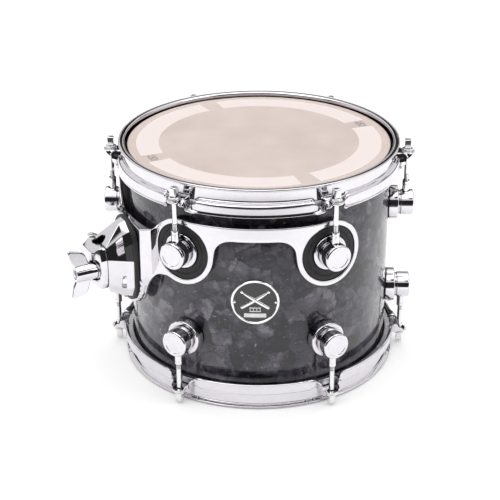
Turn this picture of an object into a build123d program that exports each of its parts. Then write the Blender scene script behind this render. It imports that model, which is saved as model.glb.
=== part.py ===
from build123d import *
import os
from math import cos, sin, radians, sqrt

# Rack tom: wrapped maple shell, two heads, pressed steel hoops, round turret
# lugs, and a wrap-around suspension plate with a hinged clamp for a mounting
# arm. Millimetres. Origin on the drum's axis, in the plane of the lower
# hoop's rim, which the drum stands on. +Z runs up the axis and the badge
# faces -Y. Stations are angles from -Y towards +X.

os.makedirs("parts", exist_ok=True)

# ---- driving dimensions ----------------------------------------------------
HT = 222.6              # rim to rim
SHELL_R = 125.9         # shell outer radius, under the wrap
SHELL_T = 5.9           # shell wall
WRAP_R = 126.5          # outside of the wrap
EDGE = 4.2              # bearing edge below the rim
FILM_T = 0.3            # head film
LUG_Z = 155.2           # axis of the upper lugs
LOW_Z = 65.5            # axis of the lower lugs
ROD_R = 142.8           # circle of the tension rods
ROD_D = 4.8             # rod shank
STATIONS = (-150, -90, -30, 30, 90, 150)
ISOLATED = (-150, -90, -30, 30)      # upper lugs that carry the suspension plate
HOOP_H = 25.8           # hoop height
HOOP_IN = 128.5         # hoop wall, inside radius
HOOP_T = 2.3            # hoop sheet thickness
SKIRT_R = 135.8         # outside of the hoop's skirt
LIP_R = 134.7           # outside of the rolled lip
LEDGE = 15.8            # underside of the ledge below the rim
BASE_R = 16.9          # lug base radius
TURRET_R = 12.8         # lug turret radius
BASE_D = 135.6          # face of the lug base, distance from the drum's axis
SCREW_SP = 12.9         # lug screws above and below the lug's axis
PLATE_IN = 133.0        # suspension plate, inside radius
PLATE_OUT = 135.5       # suspension plate, outside radius
LOBE_Z = 154.3          # centre of the plate's rings
LOBE_R = 32.1           # ring outside
LOBE_HOLE = 27.4        # ring inside
BRACKET = -60           # station of the clamp bracket
BOSS_D = 139.5          # flat seat of the bracket, distance from the drum's axis
ARM_D = 169.0           # distance of the mounting arm's axis
ARM_R = 6.4             # bore for a 12.7 mm arm
CLAMP_Z = 128.0         # middle of the clamp
CLAMP_H = 41.0          # height of the clamp
NUT_Y = 11.5            # wing nut's axis beside the arm
NUT_Z = 126.0           # wing nut's height
HINGE_Y = -18.5         # clamp hinge beside the arm


def at(phi):
    # local +X points out of the drum at station phi, local +Y runs round it
    return Rot(0, 0, phi - 90)


def ring(pts, radius=0.0):
    radii = radius if isinstance(radius, (list, tuple)) else [radius] * len(pts)
    if max(radii) > 0:
        line = FilletPolyline(*pts, radius=[max(r, 0.02) for r in radii], close=True)
    else:
        line = Polyline(*pts, close=True)
    return revolve(make_face(Plane.XZ * line), Axis.Z)


def tube(r_in, r_out, z0, z1):
    return ring([(r_in, z0), (r_out, z0), (r_out, z1), (r_in, z1)])


def vcyl(r, x, y, z0, z1):
    return Pos(x, y, (z0 + z1) / 2) * Cylinder(r, z1 - z0)


def rcyl(r, x0, x1, y, z):
    # cylinder lying along local +X
    return Pos((x0 + x1) / 2, y, z) * Rot(0, 90, 0) * Cylinder(r, x1 - x0)


def rprism(pts, x0, x1):
    # polygon in (y, z) pushed along local +X
    return extrude(Plane((x0, 0, 0), x_dir=(0, 1, 0), z_dir=(1, 0, 0)) * make_face(Polyline(*pts, close=True)), x1 - x0)


def section(x, w, h, r, y, z):
    return Plane((x, y, z), x_dir=(0, 1, 0), z_dir=(1, 0, 0)) * RectangleRounded(w, h, r)


def flip(s):
    return mirror(s, about=Plane.XY.offset(HT / 2))


def upside(s):
    return mirror(s, about=Plane.XY)


def group(shapes):
    out = []
    for s in shapes:
        out += list(s.solids())
    return Compound(children=out)


def save(name, shape):
    export_step(shape, "parts/%s.step" % name)


LUGS = [(p, LUG_Z) for p in STATIONS] + [(p, LOW_Z) for p in STATIONS]

# ---- shell, wrap and vent ---------------------------------------------------
shell_in = SHELL_R - SHELL_T
lo, hi = EDGE, HT - EDGE
shell = ring([(shell_in, lo + 3.6), (123.6, lo), (124.5, lo), (SHELL_R, lo + 2.0),
              (SHELL_R, hi - 2.0), (124.5, hi), (123.6, hi), (shell_in, hi - 3.6)])
wrap = tube(SHELL_R + 0.02, WRAP_R, 7.5, HT - 7.5)
drill = []
for p, z in LUGS:
    for s in (-1, 1):
        drill.append(at(p) * rcyl(2.2, 115, 129, 0, z + s * SCREW_SP))
VENT_Z = HT / 2
drill.append(at(180) * rcyl(6.1, 115, 129, 0, VENT_Z))
BADGE_Z = 109.0
PIN_Y = 19.0
for s in (-1, 1):
    drill.append(at(0) * rcyl(0.75, 122.4, 129, s * PIN_Y, BADGE_Z))
shell = shell - drill
wrap = wrap - drill
save("shell", shell)
save("shell_wrap", wrap)

vent = rcyl(6.0, 119.0, 127.4, 0, VENT_Z) + rcyl(9.0, 126.7, 127.7, 0, VENT_Z)
vent = vent - rcyl(4.2, 110, 130, 0, VENT_Z)
save("vent_grommet", at(180) * vent)

# ---- badge --------------------------------------------------------------------
badge = tube(126.53, 127.7, 80, 140) & (at(0) * rcyl(22.2, 120, 132, 0, BADGE_Z))
rim = tube(126.53, 128.3, 80, 140) & (at(0) * (rcyl(22.2, 120, 132, 0, BADGE_Z) - rcyl(20.6, 119, 133, 0, BADGE_Z)))
badge = badge + rim
for s in (-1, 1):
    badge = badge - at(0) * rcyl(0.75, 120, 132, s * PIN_Y, BADGE_Z)
# the pin heads sit in shallow seats of the badge, square to its curved face
pins = []
for s in (-1, 1):
    shank = rcyl(0.7, 122.6, 126.9, s * PIN_Y, BADGE_Z)
    head = rcyl(1.5, 126.4, 127.3, s * PIN_Y, BADGE_Z)
    pins.append(at(0) * (shank + head))
badge = badge - [at(0) * rcyl(1.55, 126.3, 130, s * PIN_Y, BADGE_Z) for s in (-1, 1)]
save("badge_plate", badge)
pin_seat = [at(0) * rcyl(1.55, 125.0, 130, s * PIN_Y, BADGE_Z) for s in (-1, 1)]
wrap = wrap - pin_seat
save("shell_wrap", wrap)
save("badge_pins", group(pins))

# ---- heads ----------------------------------------------------------------------
zt = HT
film = ring([(0, zt - EDGE + FILM_T), (124.9, zt - EDGE + FILM_T), (126.7, zt - 4.6), (127.4, zt - 6.6),
             (127.6, zt - 13.2), (128.5, zt - 16.8), (128.5, zt - 20.6),
             (128.2, zt - 20.6), (128.2, zt - 16.85), (127.3, zt - 13.25), (127.1, zt - 6.7),
             (126.5, zt - 4.85), (124.8, zt - EDGE), (0, zt - EDGE)])
flesh = ring([(127.75, zt - 22.2), (132.8, zt - 22.2), (132.8, zt - LEDGE - 0.15), (127.75, zt - LEDGE - 0.15)], 0.6)
flesh = flesh - ring([(128.18, zt - 20.62), (128.52, zt - 20.62), (128.52, zt - 15.0), (127.6, zt - 15.0), (128.18, zt - 16.9)])
save("batter_head_film", film)
save("batter_flesh_hoop", flesh)
save("resonant_head_film", flip(film))
save("resonant_flesh_hoop", flip(flesh))

# ---- hoops ----------------------------------------------------------------------
wall_out = HOOP_IN + HOOP_T
hoop = ring([(SKIRT_R - 2.4, zt - HOOP_H), (SKIRT_R, zt - HOOP_H), (SKIRT_R, zt - 14.0), (wall_out, zt - 12.7),
             (wall_out, zt - 3.2), (LIP_R, zt - 2.0), (LIP_R, zt), (HOOP_IN, zt),
             (HOOP_IN, zt - LEDGE), (SKIRT_R - 2.4, zt - LEDGE)],
            [0.8, 0.8, 2.6, 1.6, 1.2, 0.4, 0.9, 2.1, 1.1, 0.5])
TAB_TOP = zt - 13.8
TAB_T = LEDGE - 13.8
for p in STATIONS:
    gap = rprism([(-11.5, zt - HOOP_H - 1), (11.5, zt - HOOP_H - 1), (9.8, zt - LEDGE), (-9.8, zt - LEDGE)], 132.0, 138.0)
    hoop = hoop - at(p) * gap
for p in STATIONS:
    ear = make_face(Polyline((131.2, -11.0), (136.0, -9.6), (ROD_R, -6.0), (ROD_R, 6.0), (136.0, 9.6), (131.2, 11.0), close=True))
    tab = extrude(Pos(0, 0, TAB_TOP - TAB_T) * ear, TAB_T) + vcyl(6.0, ROD_R, 0, TAB_TOP - TAB_T, TAB_TOP)
    hoop = hoop + at(p) * tab
for p in STATIONS:
    hoop = hoop - at(p) * vcyl(3.2, ROD_R, 0, TAB_TOP - 5, TAB_TOP + 5)
save("batter_hoop", hoop)
save("resonant_hoop", flip(hoop))

# ---- tension rods and their washers -----------------------------------------------
ROD_END = LUG_Z - 3.0
washer = vcyl(5.6, ROD_R, 0, TAB_TOP + 0.01, TAB_TOP + 1.2) - vcyl(2.7, ROD_R, 0, TAB_TOP - 2, TAB_TOP + 3)
collar0 = TAB_TOP + 1.25
shank = vcyl(ROD_D / 2, ROD_R, 0, ROD_END, collar0 + 0.5)
shank = chamfer(shank.edges().group_by(Axis.Z)[0], 0.7)
collar = vcyl(5.25, ROD_R, 0, collar0, collar0 + 1.6)
collar = chamfer(collar.edges().group_by(Axis.Z)[-1], 0.5)
head = Pos(ROD_R, 0, (collar0 + 1.0 + zt - 2.0) / 2) * Box(6.2, 6.2, (zt - 2.0) - (collar0 + 1.0))
head = chamfer(head.edges().group_by(Axis.Z)[-1], 0.7)
rod = shank + collar + head
for i, p in enumerate(STATIONS):
    save("batter_tension_rod_%d" % (i + 1), at(p) * rod)
    save("resonant_tension_rod_%d" % (i + 1), flip(at(p) * rod))
save("batter_rod_washers", group([at(p) * washer for p in STATIONS]))
save("resonant_rod_washers", group([flip(at(p) * washer) for p in STATIONS]))

# ---- lugs -----------------------------------------------------------------------
base = rcyl(BASE_R, 122, BASE_D, 0, 0)
base = fillet(base.edges().group_by(Axis.X)[-1], 1.4)
neck = rcyl(12.0, 128, 137.8, 0, 0)
base = base + neck
base = base - Cylinder(127.3, 80)
for s in (-1, 1):
    base = base - rcyl(2.02, 120, 130.2, 0, s * SCREW_SP)
turret = rcyl(TURRET_R, 137.85, 150.5, 0, 0)
turret = fillet(turret.edges().group_by(Axis.X)[-1], 2.4)
turret = chamfer(turret.edges().group_by(Axis.X)[0], 0.6)
turret = turret - vcyl(3.65, ROD_R, 0, -8.0, 20)
nut = vcyl(3.6, ROD_R, 0, -7.8, 23.4) - vcyl(2.48, ROD_R, 0, -20, 40)
nut = nut - (vcyl(3.7, ROD_R, 0, 21.9, 24) - vcyl(3.15, ROD_R, 0, 21, 25))
screw = rcyl(3.9, 115.9, 118.55, 0, 0)
screw = fillet(screw.edges().group_by(Axis.X)[0], 1.2) + rcyl(1.95, 118.3, 130.0, 0, 0)
screw = screw - Pos(115.9, 0, 0) * Box(2.6, 1.1, 5.4) - Pos(115.9, 0, 0) * Box(2.6, 5.4, 1.1)
screw_washer = rcyl(5.6, 118.6, 119.8, 0, 0) - rcyl(2.1, 118, 121, 0, 0)
gasket = (tube(126.53, 127.27, -40, 40) & rcyl(15.6, 120, 130, 0, 0))
for s in (-1, 1):
    gasket = gasket - rcyl(2.2, 120, 130, 0, s * SCREW_SP)
up = Pos(0, 0, LUG_Z)
save("upper_lug_bases", group([at(p) * up * base for p in STATIONS]))
low = Pos(0, 0, LOW_Z)
save("lower_lug_bases", group([at(p) * low * upside(base) for p in STATIONS]))
save("upper_lug_turrets", group([at(p) * up * turret for p in STATIONS]))
save("lower_lug_turrets", group([at(p) * low * upside(turret) for p in STATIONS]))
save("upper_tube_nuts", group([at(p) * up * nut for p in STATIONS]))
save("lower_tube_nuts", group([at(p) * low * upside(nut) for p in STATIONS]))
save("lug_screws", group([at(p) * Pos(0, 0, z + s * SCREW_SP) * screw for p, z in LUGS for s in (-1, 1)]))
save("lug_screw_washers", group([at(p) * Pos(0, 0, z + s * SCREW_SP) * screw_washer for p, z in LUGS for s in (-1, 1)]))
plain = [p for p in STATIONS if p not in ISOLATED]
save("lug_gaskets", group([at(p) * up * gasket for p in plain] + [at(p) * Pos(0, 0, LOW_Z) * gasket for p in STATIONS]))

# ---- rubber isolators and suspension plate -------------------------------------------
iso = tube(126.55, 134.3, 100, 200) & rcyl(LOBE_HOLE - 0.1, 105, 138, 0, LOBE_Z)
iso = iso + (tube(126.55, PLATE_IN - 0.05, 100, 200) & rcyl(30.4, 110, 135, 0, LOBE_Z))
iso = iso - (rcyl(BASE_R + 0.15, 110, 140, 0, LUG_Z) & (tube(127.28, 142, 90, 210)))
for s in (-1, 1):
    iso = iso - rcyl(2.2, 110, 135, 0, LUG_Z + s * SCREW_SP)
save("rubber_isolators", group([at(p) * iso for p in ISOLATED]))

skin = tube(PLATE_IN, PLATE_OUT, 60, 200)
window = Plane((100, 0, 100), x_dir=(0, 1, 0), z_dir=(1, 0, 0)) * RectangleRounded(2 * 36.9, 2 * 72.2, 15.5)
bridge = rprism([(-66, 154), (66, 154), (66, 185.4), (-66, 185.4)], 100, 140) - extrude(window, 45)
half = [(0, 164.6), (27, 164.6), (33, 165.6), (37.5, 168.4), (42.5, 174.0), (52, 178.0), (60, 150.0),
        (54, 126.0), (47, 124.9), (41.5, 123.4), (36.5, 119.6), (31.0, 113.5), (27.0, 108.0), (23.8, 101.3),
        (21.6, 94.5), (18.2, 88.2), (12.8, 83.0), (6.5, 80.0), (0, 79.0)]
centre = rprism(half + [(-y, z) for y, z in reversed(half[1:-1])], 100, 140)
plate = None
for p in ISOLATED:
    lobe = skin & (at(p) * rcyl(LOBE_R, 100, 140, 0, LOBE_Z))
    plate = lobe if plate is None else plate + lobe
for p in (0, -120):
    plate = plate + (skin & (at(p) * bridge))
plate = plate + (skin & (at(BRACKET) * centre))
foot = [(0, 164.6), (34.0, 164.6), (34.0, 121.6), (31.0, 113.5), (27.0, 108.0), (23.8, 101.3), (21.6, 94.5), (18.2, 88.2), (12.8, 83.0), (6.5, 80.0), (0, 79.0)]
seat = [(0, 164.6), (27.0, 164.6), (27.0, 121.6), (26.2, 113.5), (24.8, 108.0), (22.8, 101.3), (20.7, 94.5), (17.4, 88.7), (12.2, 83.8), (6.0, 80.9), (0, 79.8)]


def outline(x, pts):
    full = pts + [(-y, z) for y, z in reversed(pts[1:-1])]
    return Plane((x, 0, 0), x_dir=(0, 1, 0), z_dir=(1, 0, 0)) * make_face(Polyline(*full, close=True))


boss = loft([outline(130.6, foot), outline(BOSS_D, seat)], ruled=True)
boss = boss - Cylinder(PLATE_IN, 600)
plate = plate + at(BRACKET) * boss
for p in ISOLATED:
    plate = plate - at(p) * rcyl(LOBE_HOLE, 100, 145, 0, LOBE_Z)
BOLT_Z = (CLAMP_Z - 28.0, CLAMP_Z + 27.0)
for z in BOLT_Z:
    plate = plate - at(BRACKET) * rcyl(3.1, 120, 150, 0, z)
save("mount_plate", plate)

# ---- clamp bracket ---------------------------------------------------------------
pad = extrude(section(BOSS_D + 0.05, 49, 83.6, 22.5, 0.3, 126.4), 4.35)
pad = fillet(pad.edges().group_by(Axis.X)[-1], 1.2)
for z in BOLT_Z:
    pad = pad - rcyl(3.1, 120, 150, 0, z)
save("bracket_gasket", at(BRACKET) * pad)

# body and jaw are lofts through faceted sections: right half upwards, then mirrored about y0
CLAMP_Y = 2.5
BASE_SEC = [(6.0, 87.6), (16.0, 92.5), (22.0, 103.5), (22.9, 131.0), (19.8, 148.0), (14.5, 158.5), (5.0, 166.2)]
RIDGE_SEC = [(4.5, 89.5), (12.5, 93.5), (17.8, 101.5), (18.8, 131.0), (15.0, 144.0), (11.8, 154.5), (4.5, 164.0)]
CLAMP_SEC = [(14.5, -20.5), (16.2, -18.0), (18.0, -14.5), (18.0, 9.0), (16.2, 15.0), (14.8, 18.8), (14.0, 20.5)]
NOSE_SEC = [(9.5, -15.0), (10.6, -13.6), (11.5, -11.5), (11.5, 8.0), (10.6, 12.0), (9.8, 14.2), (9.0, 15.0)]


def facets(x, right, y0, z0, left=None):
    pts = [(y0 + y, z0 + z) for y, z in right] + [(y0 - y, z0 + z) for y, z in reversed(left or right)]
    return Plane((x, 0, 0), x_dir=(0, 1, 0), z_dir=(1, 0, 0)) * make_face(Polyline(*pts, close=True))


sec0 = facets(143.95, BASE_SEC, 0, 0)
sec1 = facets(150.0, RIDGE_SEC, 0, 0)
sec2 = facets(ARM_D - 0.2, CLAMP_SEC, CLAMP_Y, CLAMP_Z)
body = loft([sec0, sec1], ruled=True) + loft([sec1, sec2], ruled=True)
zb0, zb1 = CLAMP_Z - CLAMP_H / 2, CLAMP_Z + CLAMP_H / 2
k0, k1 = zb0 + 10.0, zb1 - 10.0
for a, b in ((zb0, k0), (k1, zb1)):
    body = body + vcyl(4.0, ARM_D, HINGE_Y, a, b) + Pos(ARM_D - 3.2, HINGE_Y + 2.2, (a + b) / 2) * Box(4.0, 4.4, b - a)
body = body - vcyl(4.4, ARM_D, HINGE_Y, k0, k1)
body = body - vcyl(2.02, ARM_D, HINGE_Y, 80, 180)
body = body - vcyl(ARM_R, ARM_D, 0, 80, 180)
body = body - rcyl(3.22, 155.0, 190, NUT_Y, NUT_Z)
for z in BOLT_Z:
    body = body - rcyl(3.02, 130, 149.2, 0, z)
save("bracket_body", at(BRACKET) * body)

jaw0 = facets(ARM_D + 0.2, CLAMP_SEC, CLAMP_Y, CLAMP_Z)
jaw1 = facets(ARM_D + 6.2, CLAMP_SEC, CLAMP_Y, CLAMP_Z)
jaw2 = facets(ARM_D + 12.0, NOSE_SEC, CLAMP_Y - 3.5, CLAMP_Z, [(y + 2.0, z) for y, z in NOSE_SEC])
jaw = loft([jaw0, jaw1], ruled=True) + loft([jaw1, jaw2], ruled=True)
for a, b in ((80, k0 + 0.2), (k1 - 0.2, 180)):
    jaw = jaw - vcyl(4.4, ARM_D, HINGE_Y, a, b)
jaw = jaw + vcyl(4.0, ARM_D, HINGE_Y, k0 + 0.2, k1 - 0.2) + Pos(ARM_D + 2.4, HINGE_Y + 2.4, CLAMP_Z) * Box(3.2, 4.8, k1 - k0 - 0.4)
jaw = jaw - vcyl(2.06, ARM_D, HINGE_Y, 80, 180)
jaw = jaw - vcyl(ARM_R, ARM_D, 0, 80, 180)
SEAT_D = ARM_D + 7.5
jaw = jaw - rcyl(9.9, SEAT_D, 200, NUT_Y, NUT_Z) - rcyl(4.7, 160, 200, NUT_Y, NUT_Z)
save("clamp_jaw", at(BRACKET) * jaw)
save("jaw_hinge_pin", at(BRACKET) * vcyl(2.0, ARM_D, HINGE_Y, zb0 - 1.2, zb1 + 1.2))

clamp_bolt = rcyl(3.2, 155.2, 199.6, NUT_Y, NUT_Z)
clamp_bolt = chamfer(clamp_bolt.edges().group_by(Axis.X)[-1], 0.6)
save("clamp_bolt", at(BRACKET) * clamp_bolt)
nut_washer = rcyl(8.5, SEAT_D + 0.05, SEAT_D + 1.6, NUT_Y, NUT_Z) - rcyl(3.35, 150, 200, NUT_Y, NUT_Z)
save("wing_nut_washer", at(BRACKET) * nut_washer)
hub = rcyl(7.75, SEAT_D + 1.65, 198.6, 0, 0)
hub = chamfer(hub.edges().group_by(Axis.X)[-1], 1.0)
wing = [(183.5, 4.0), (186.0, 13.0), (188.6, 19.0), (191.5, 20.6), (202.0, 23.4), (204.0, 21.8), (201.6, 12.0), (197.5, 4.0)]


def blade(s):
    f = Plane((0, 1.6, 0), x_dir=(1, 0, 0), z_dir=(0, -1, 0)) * make_face(Polyline(*[(x, s * r) for x, r in wing], close=True))
    return extrude(f, 3.2)


wing_nut = hub + blade(1) + blade(-1) - rcyl(3.28, 150, 210, 0, 0)
wing_nut = Pos(0, NUT_Y, NUT_Z) * Rot(8, 0, 0) * wing_nut
save("wing_nut", at(BRACKET) * wing_nut)
bolts = []
for z in BOLT_Z:
    bolts.append(at(BRACKET) * (rcyl(3.0, 131.9, 149.0, 0, z) + rcyl(5.2, 130.8, 132.6, 0, z)))
save("bracket_bolts", group(bolts))
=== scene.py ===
import math

import bmesh
import bpy
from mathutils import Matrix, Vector
from mathutils.geometry import delaunay_2d_cdt
from mathutils.kdtree import KDTree


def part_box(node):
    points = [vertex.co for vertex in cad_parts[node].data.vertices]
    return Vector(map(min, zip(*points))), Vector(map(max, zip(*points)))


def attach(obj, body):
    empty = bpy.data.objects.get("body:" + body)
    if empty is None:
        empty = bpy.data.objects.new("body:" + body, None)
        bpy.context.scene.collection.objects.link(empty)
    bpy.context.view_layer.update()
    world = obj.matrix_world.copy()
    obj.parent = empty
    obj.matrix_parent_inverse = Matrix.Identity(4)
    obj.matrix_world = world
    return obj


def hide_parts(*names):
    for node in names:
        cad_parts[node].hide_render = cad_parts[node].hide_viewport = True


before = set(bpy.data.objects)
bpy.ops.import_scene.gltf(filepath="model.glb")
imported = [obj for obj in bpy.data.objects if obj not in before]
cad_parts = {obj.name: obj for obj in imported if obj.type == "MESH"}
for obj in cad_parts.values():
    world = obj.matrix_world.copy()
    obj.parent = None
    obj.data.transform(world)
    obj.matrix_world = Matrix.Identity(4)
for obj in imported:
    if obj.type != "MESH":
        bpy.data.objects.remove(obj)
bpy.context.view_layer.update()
scene = bpy.context.scene

# ---- dimensions, millimetres -------------------------------------------------
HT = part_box("batter_hoop")[1].z * 1000.0
LUG_Z, LOW_Z, ROD_R = 155.2, 65.5, 142.8
STATIONS = (-150, -90, -30, 30, 90, 150)
ISOLATED = (-150, -90, -30, 30)
LOBE_Z, LOBE_R, LOBE_HOLE = 154.3, 32.1, 27.4
BRACKET = -60
ARM_D, ARM_R, CLAMP_Z, CLAMP_H = 169.0, 6.4, 128.0, 41.0
NUT_Y, NUT_Z, HINGE_Y = 11.5, 126.0, -18.5
SCREW_SP = 12.9
TAB_TOP = HT - 13.8
BADGE_Z = 109.0
LOW_DZ = HT - LUG_Z - LOW_Z   # the lower lugs sit a little off the mirrored height
TAU = 2 * math.pi


def at(phi, x, y, z):
    a = math.radians(phi)
    s, c = math.sin(a), math.cos(a)
    return (x * s + y * c, -x * c + y * s, z)


# ---- mesh building -------------------------------------------------------------
class Part:
    """Vertices in millimetres and faces, each with a material number."""

    def __init__(self):
        self.v, self.f, self.m = [], [], []

    def add(self, verts, faces, mat=0):
        n = len(self.v)
        self.v.extend(tuple(p) for p in verts)
        self.f.extend(tuple(i + n for i in f) for f in faces)
        self.m.extend([mat] * len(faces))
        return self

    def rows(self, rows, wrap=True, loop=False, mat=0):
        """Quads between rows of points. wrap closes each row on itself, loop joins the last row to the first."""
        n, k = len(rows), len(rows[0])
        faces = []
        for i in range(n if loop else n - 1):
            a, b = i * k, ((i + 1) % n) * k
            for j in range(k if wrap else k - 1):
                j2 = (j + 1) % k
                faces.append((a + j, a + j2, b + j2, b + j))
        return self.add([p for r in rows for p in r], faces, mat)

    def cap(self, row, mat=0):
        c = [sum(p[i] for p in row) / len(row) for i in range(3)]
        k = len(row)
        return self.add(list(row) + [c], [(j, (j + 1) % k, k) for j in range(k)], mat)

    def copy_of(self, other, phi=0.0, flip=False, dz=0.0):
        """Adds another part, built at station 0, turned to station phi and mirrored top to bottom if flip."""
        a = math.radians(phi)
        c, s = math.cos(a), math.sin(a)
        verts = []
        for x, y, z in other.v:
            z += dz
            verts.append((x * c - y * s, x * s + y * c, HT - z if flip else z))
        n = len(self.v)
        self.v.extend(verts)
        self.f.extend(tuple(i + n for i in (reversed(f) if flip else f)) for f in other.f)
        self.m.extend(other.m)
        return self


def mesh_of(part, name, weld=True):
    me = bpy.data.meshes.new(name)
    me.from_pydata([(x / 1000, y / 1000, z / 1000) for x, y, z in part.v], [], part.f)
    me.polygons.foreach_set("material_index", part.m)
    bm = bmesh.new()
    bm.from_mesh(me)
    if weld:
        bmesh.ops.remove_doubles(bm, verts=bm.verts, dist=2e-6)
        bmesh.ops.dissolve_degenerate(bm, edges=bm.edges, dist=1e-7)
    bmesh.ops.recalc_face_normals(bm, faces=bm.faces)
    bm.to_mesh(me)
    bm.free()
    return me


def make(name, part, mats, body, replaces=(), sharp=33.0):
    me = part if isinstance(part, bpy.types.Mesh) else mesh_of(part, name)
    me.name = name
    me.materials.clear()
    for m in mats if isinstance(mats, (list, tuple)) else [mats]:
        me.materials.append(m)
    me.polygons.foreach_set("use_smooth", [True] * len(me.polygons))
    if sharp:
        me.set_sharp_from_angle(angle=math.radians(sharp))
    o = bpy.data.objects.new(name, me)
    scene.collection.objects.link(o)
    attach(o, body)
    if replaces:
        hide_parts(*replaces)
    return o


def carve(part, cutters, op="DIFFERENCE"):
    """Boolean of a part with each of the cutters."""
    a = bpy.data.objects.new("carve", mesh_of(part, "carve"))
    scene.collection.objects.link(a)
    extra = []
    for cutter in cutters:
        b = bpy.data.objects.new("cutter", mesh_of(cutter, "cutter"))
        scene.collection.objects.link(b)
        mod = a.modifiers.new("cut", "BOOLEAN")
        mod.operation, mod.object, mod.solver = op, b, "EXACT"
        extra.append(b)
    bpy.context.view_layer.update()
    me = bpy.data.meshes.new_from_object(a.evaluated_get(bpy.context.evaluated_depsgraph_get()))
    out = Part()
    out.v = [(v.co.x * 1000, v.co.y * 1000, v.co.z * 1000) for v in me.vertices]
    out.f = [tuple(p.vertices) for p in me.polygons]
    out.m = [p.material_index for p in me.polygons]
    for o in [a] + extra:
        bpy.data.objects.remove(o)
    return out


def soften(pts, radii, seg=4, closed=False):
    """A polyline with its corners rounded."""
    out, n = [], len(pts)
    radii = radii if isinstance(radii, (list, tuple)) else [radii] * n
    for i, (p, r) in enumerate(zip(pts, radii)):
        if r <= 0 or (not closed and i in (0, n - 1)):
            out.append(tuple(p))
            continue
        p = Vector(p[:2])
        va, vb = Vector(pts[i - 1][:2]) - p, Vector(pts[(i + 1) % n][:2]) - p
        la, lb = va.length, vb.length
        if min(la, lb) < 1e-9:
            out.append(tuple(p))
            continue
        va, vb = va / la, vb / lb
        ang = math.acos(max(-1, min(1, va.dot(vb))))
        if ang > math.pi - 0.03 or ang < 0.03:
            out.append(tuple(p))
            continue
        d = min(r / math.tan(ang / 2), 0.49 * la, 0.49 * lb)
        rr = d * math.tan(ang / 2)
        c = p + (va + vb).normalized() * (rr / math.sin(ang / 2))
        s, e = p + va * d - c, p + vb * d - c
        a0, a1 = math.atan2(s.y, s.x), math.atan2(e.y, e.x)
        da = (a1 - a0 + math.pi) % TAU - math.pi
        for k in range(seg + 1):
            a = a0 + da * k / seg
            out.append((c.x + rr * math.cos(a), c.y + rr * math.sin(a)))
    return out


def lathe_z(part, prof, cx=0.0, cy=0.0, n=48, mat=0, loop=False):
    """prof is a list of (radius, z)."""
    rows = [[(cx + r * math.cos(TAU * j / n), cy + r * math.sin(TAU * j / n), z) for j in range(n)] for r, z in prof]
    return part.rows(rows, loop=loop, mat=mat)


def lathe_x(part, prof, phi=0, y0=0.0, z0=0.0, n=64, mat=0, loop=False):
    """prof is a list of (local x, radius)."""
    rows = [[at(phi, x, y0 + r * math.cos(TAU * j / n), z0 + r * math.sin(TAU * j / n)) for j in range(n)] for x, r in prof]
    return part.rows(rows, loop=loop, mat=mat)


def wrapped(part, prof, phi, r0, n=96, mat=0, loop=False):
    """Rings that hug the drum. prof is a list of (ring radius, height over r0, z of the ring's centre)."""
    rows = []
    for rho, h, zc in prof:
        row = []
        for j in range(n):
            y = rho * math.cos(TAU * j / n)
            row.append(at(phi, math.sqrt((r0 + h) ** 2 - y * y), y, zc + rho * math.sin(TAU * j / n)))
        rows.append(row)
    return part.rows(rows, loop=loop, mat=mat)


def rrect(w, h, r, y0, z0, nc=7, ns=5):
    """Points (y, z) round a rectangle with rounded corners, always the same number."""
    r = min(r, w / 2 - 0.01, h / 2 - 0.01)
    out = []
    corners = [(w / 2 - r, h / 2 - r, 0), (-w / 2 + r, h / 2 - r, 90), (-w / 2 + r, -h / 2 + r, 180), (w / 2 - r, -h / 2 + r, 270)]
    for i, (cy, cz, a0) in enumerate(corners):
        arc = [(cy + r * math.cos(math.radians(a0 + 90 * k / nc)), cz + r * math.sin(math.radians(a0 + 90 * k / nc))) for k in range(nc + 1)]
        ny, nz, na = corners[(i + 1) % 4]
        nxt = (ny + r * math.cos(math.radians(na)), nz + r * math.sin(math.radians(na)))
        out += arc
        for k in range(1, ns):
            t = k / ns
            out.append((arc[-1][0] * (1 - t) + nxt[0] * t, arc[-1][1] * (1 - t) + nxt[1] * t))
    return [(y + y0, z + z0) for y, z in out]


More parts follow.
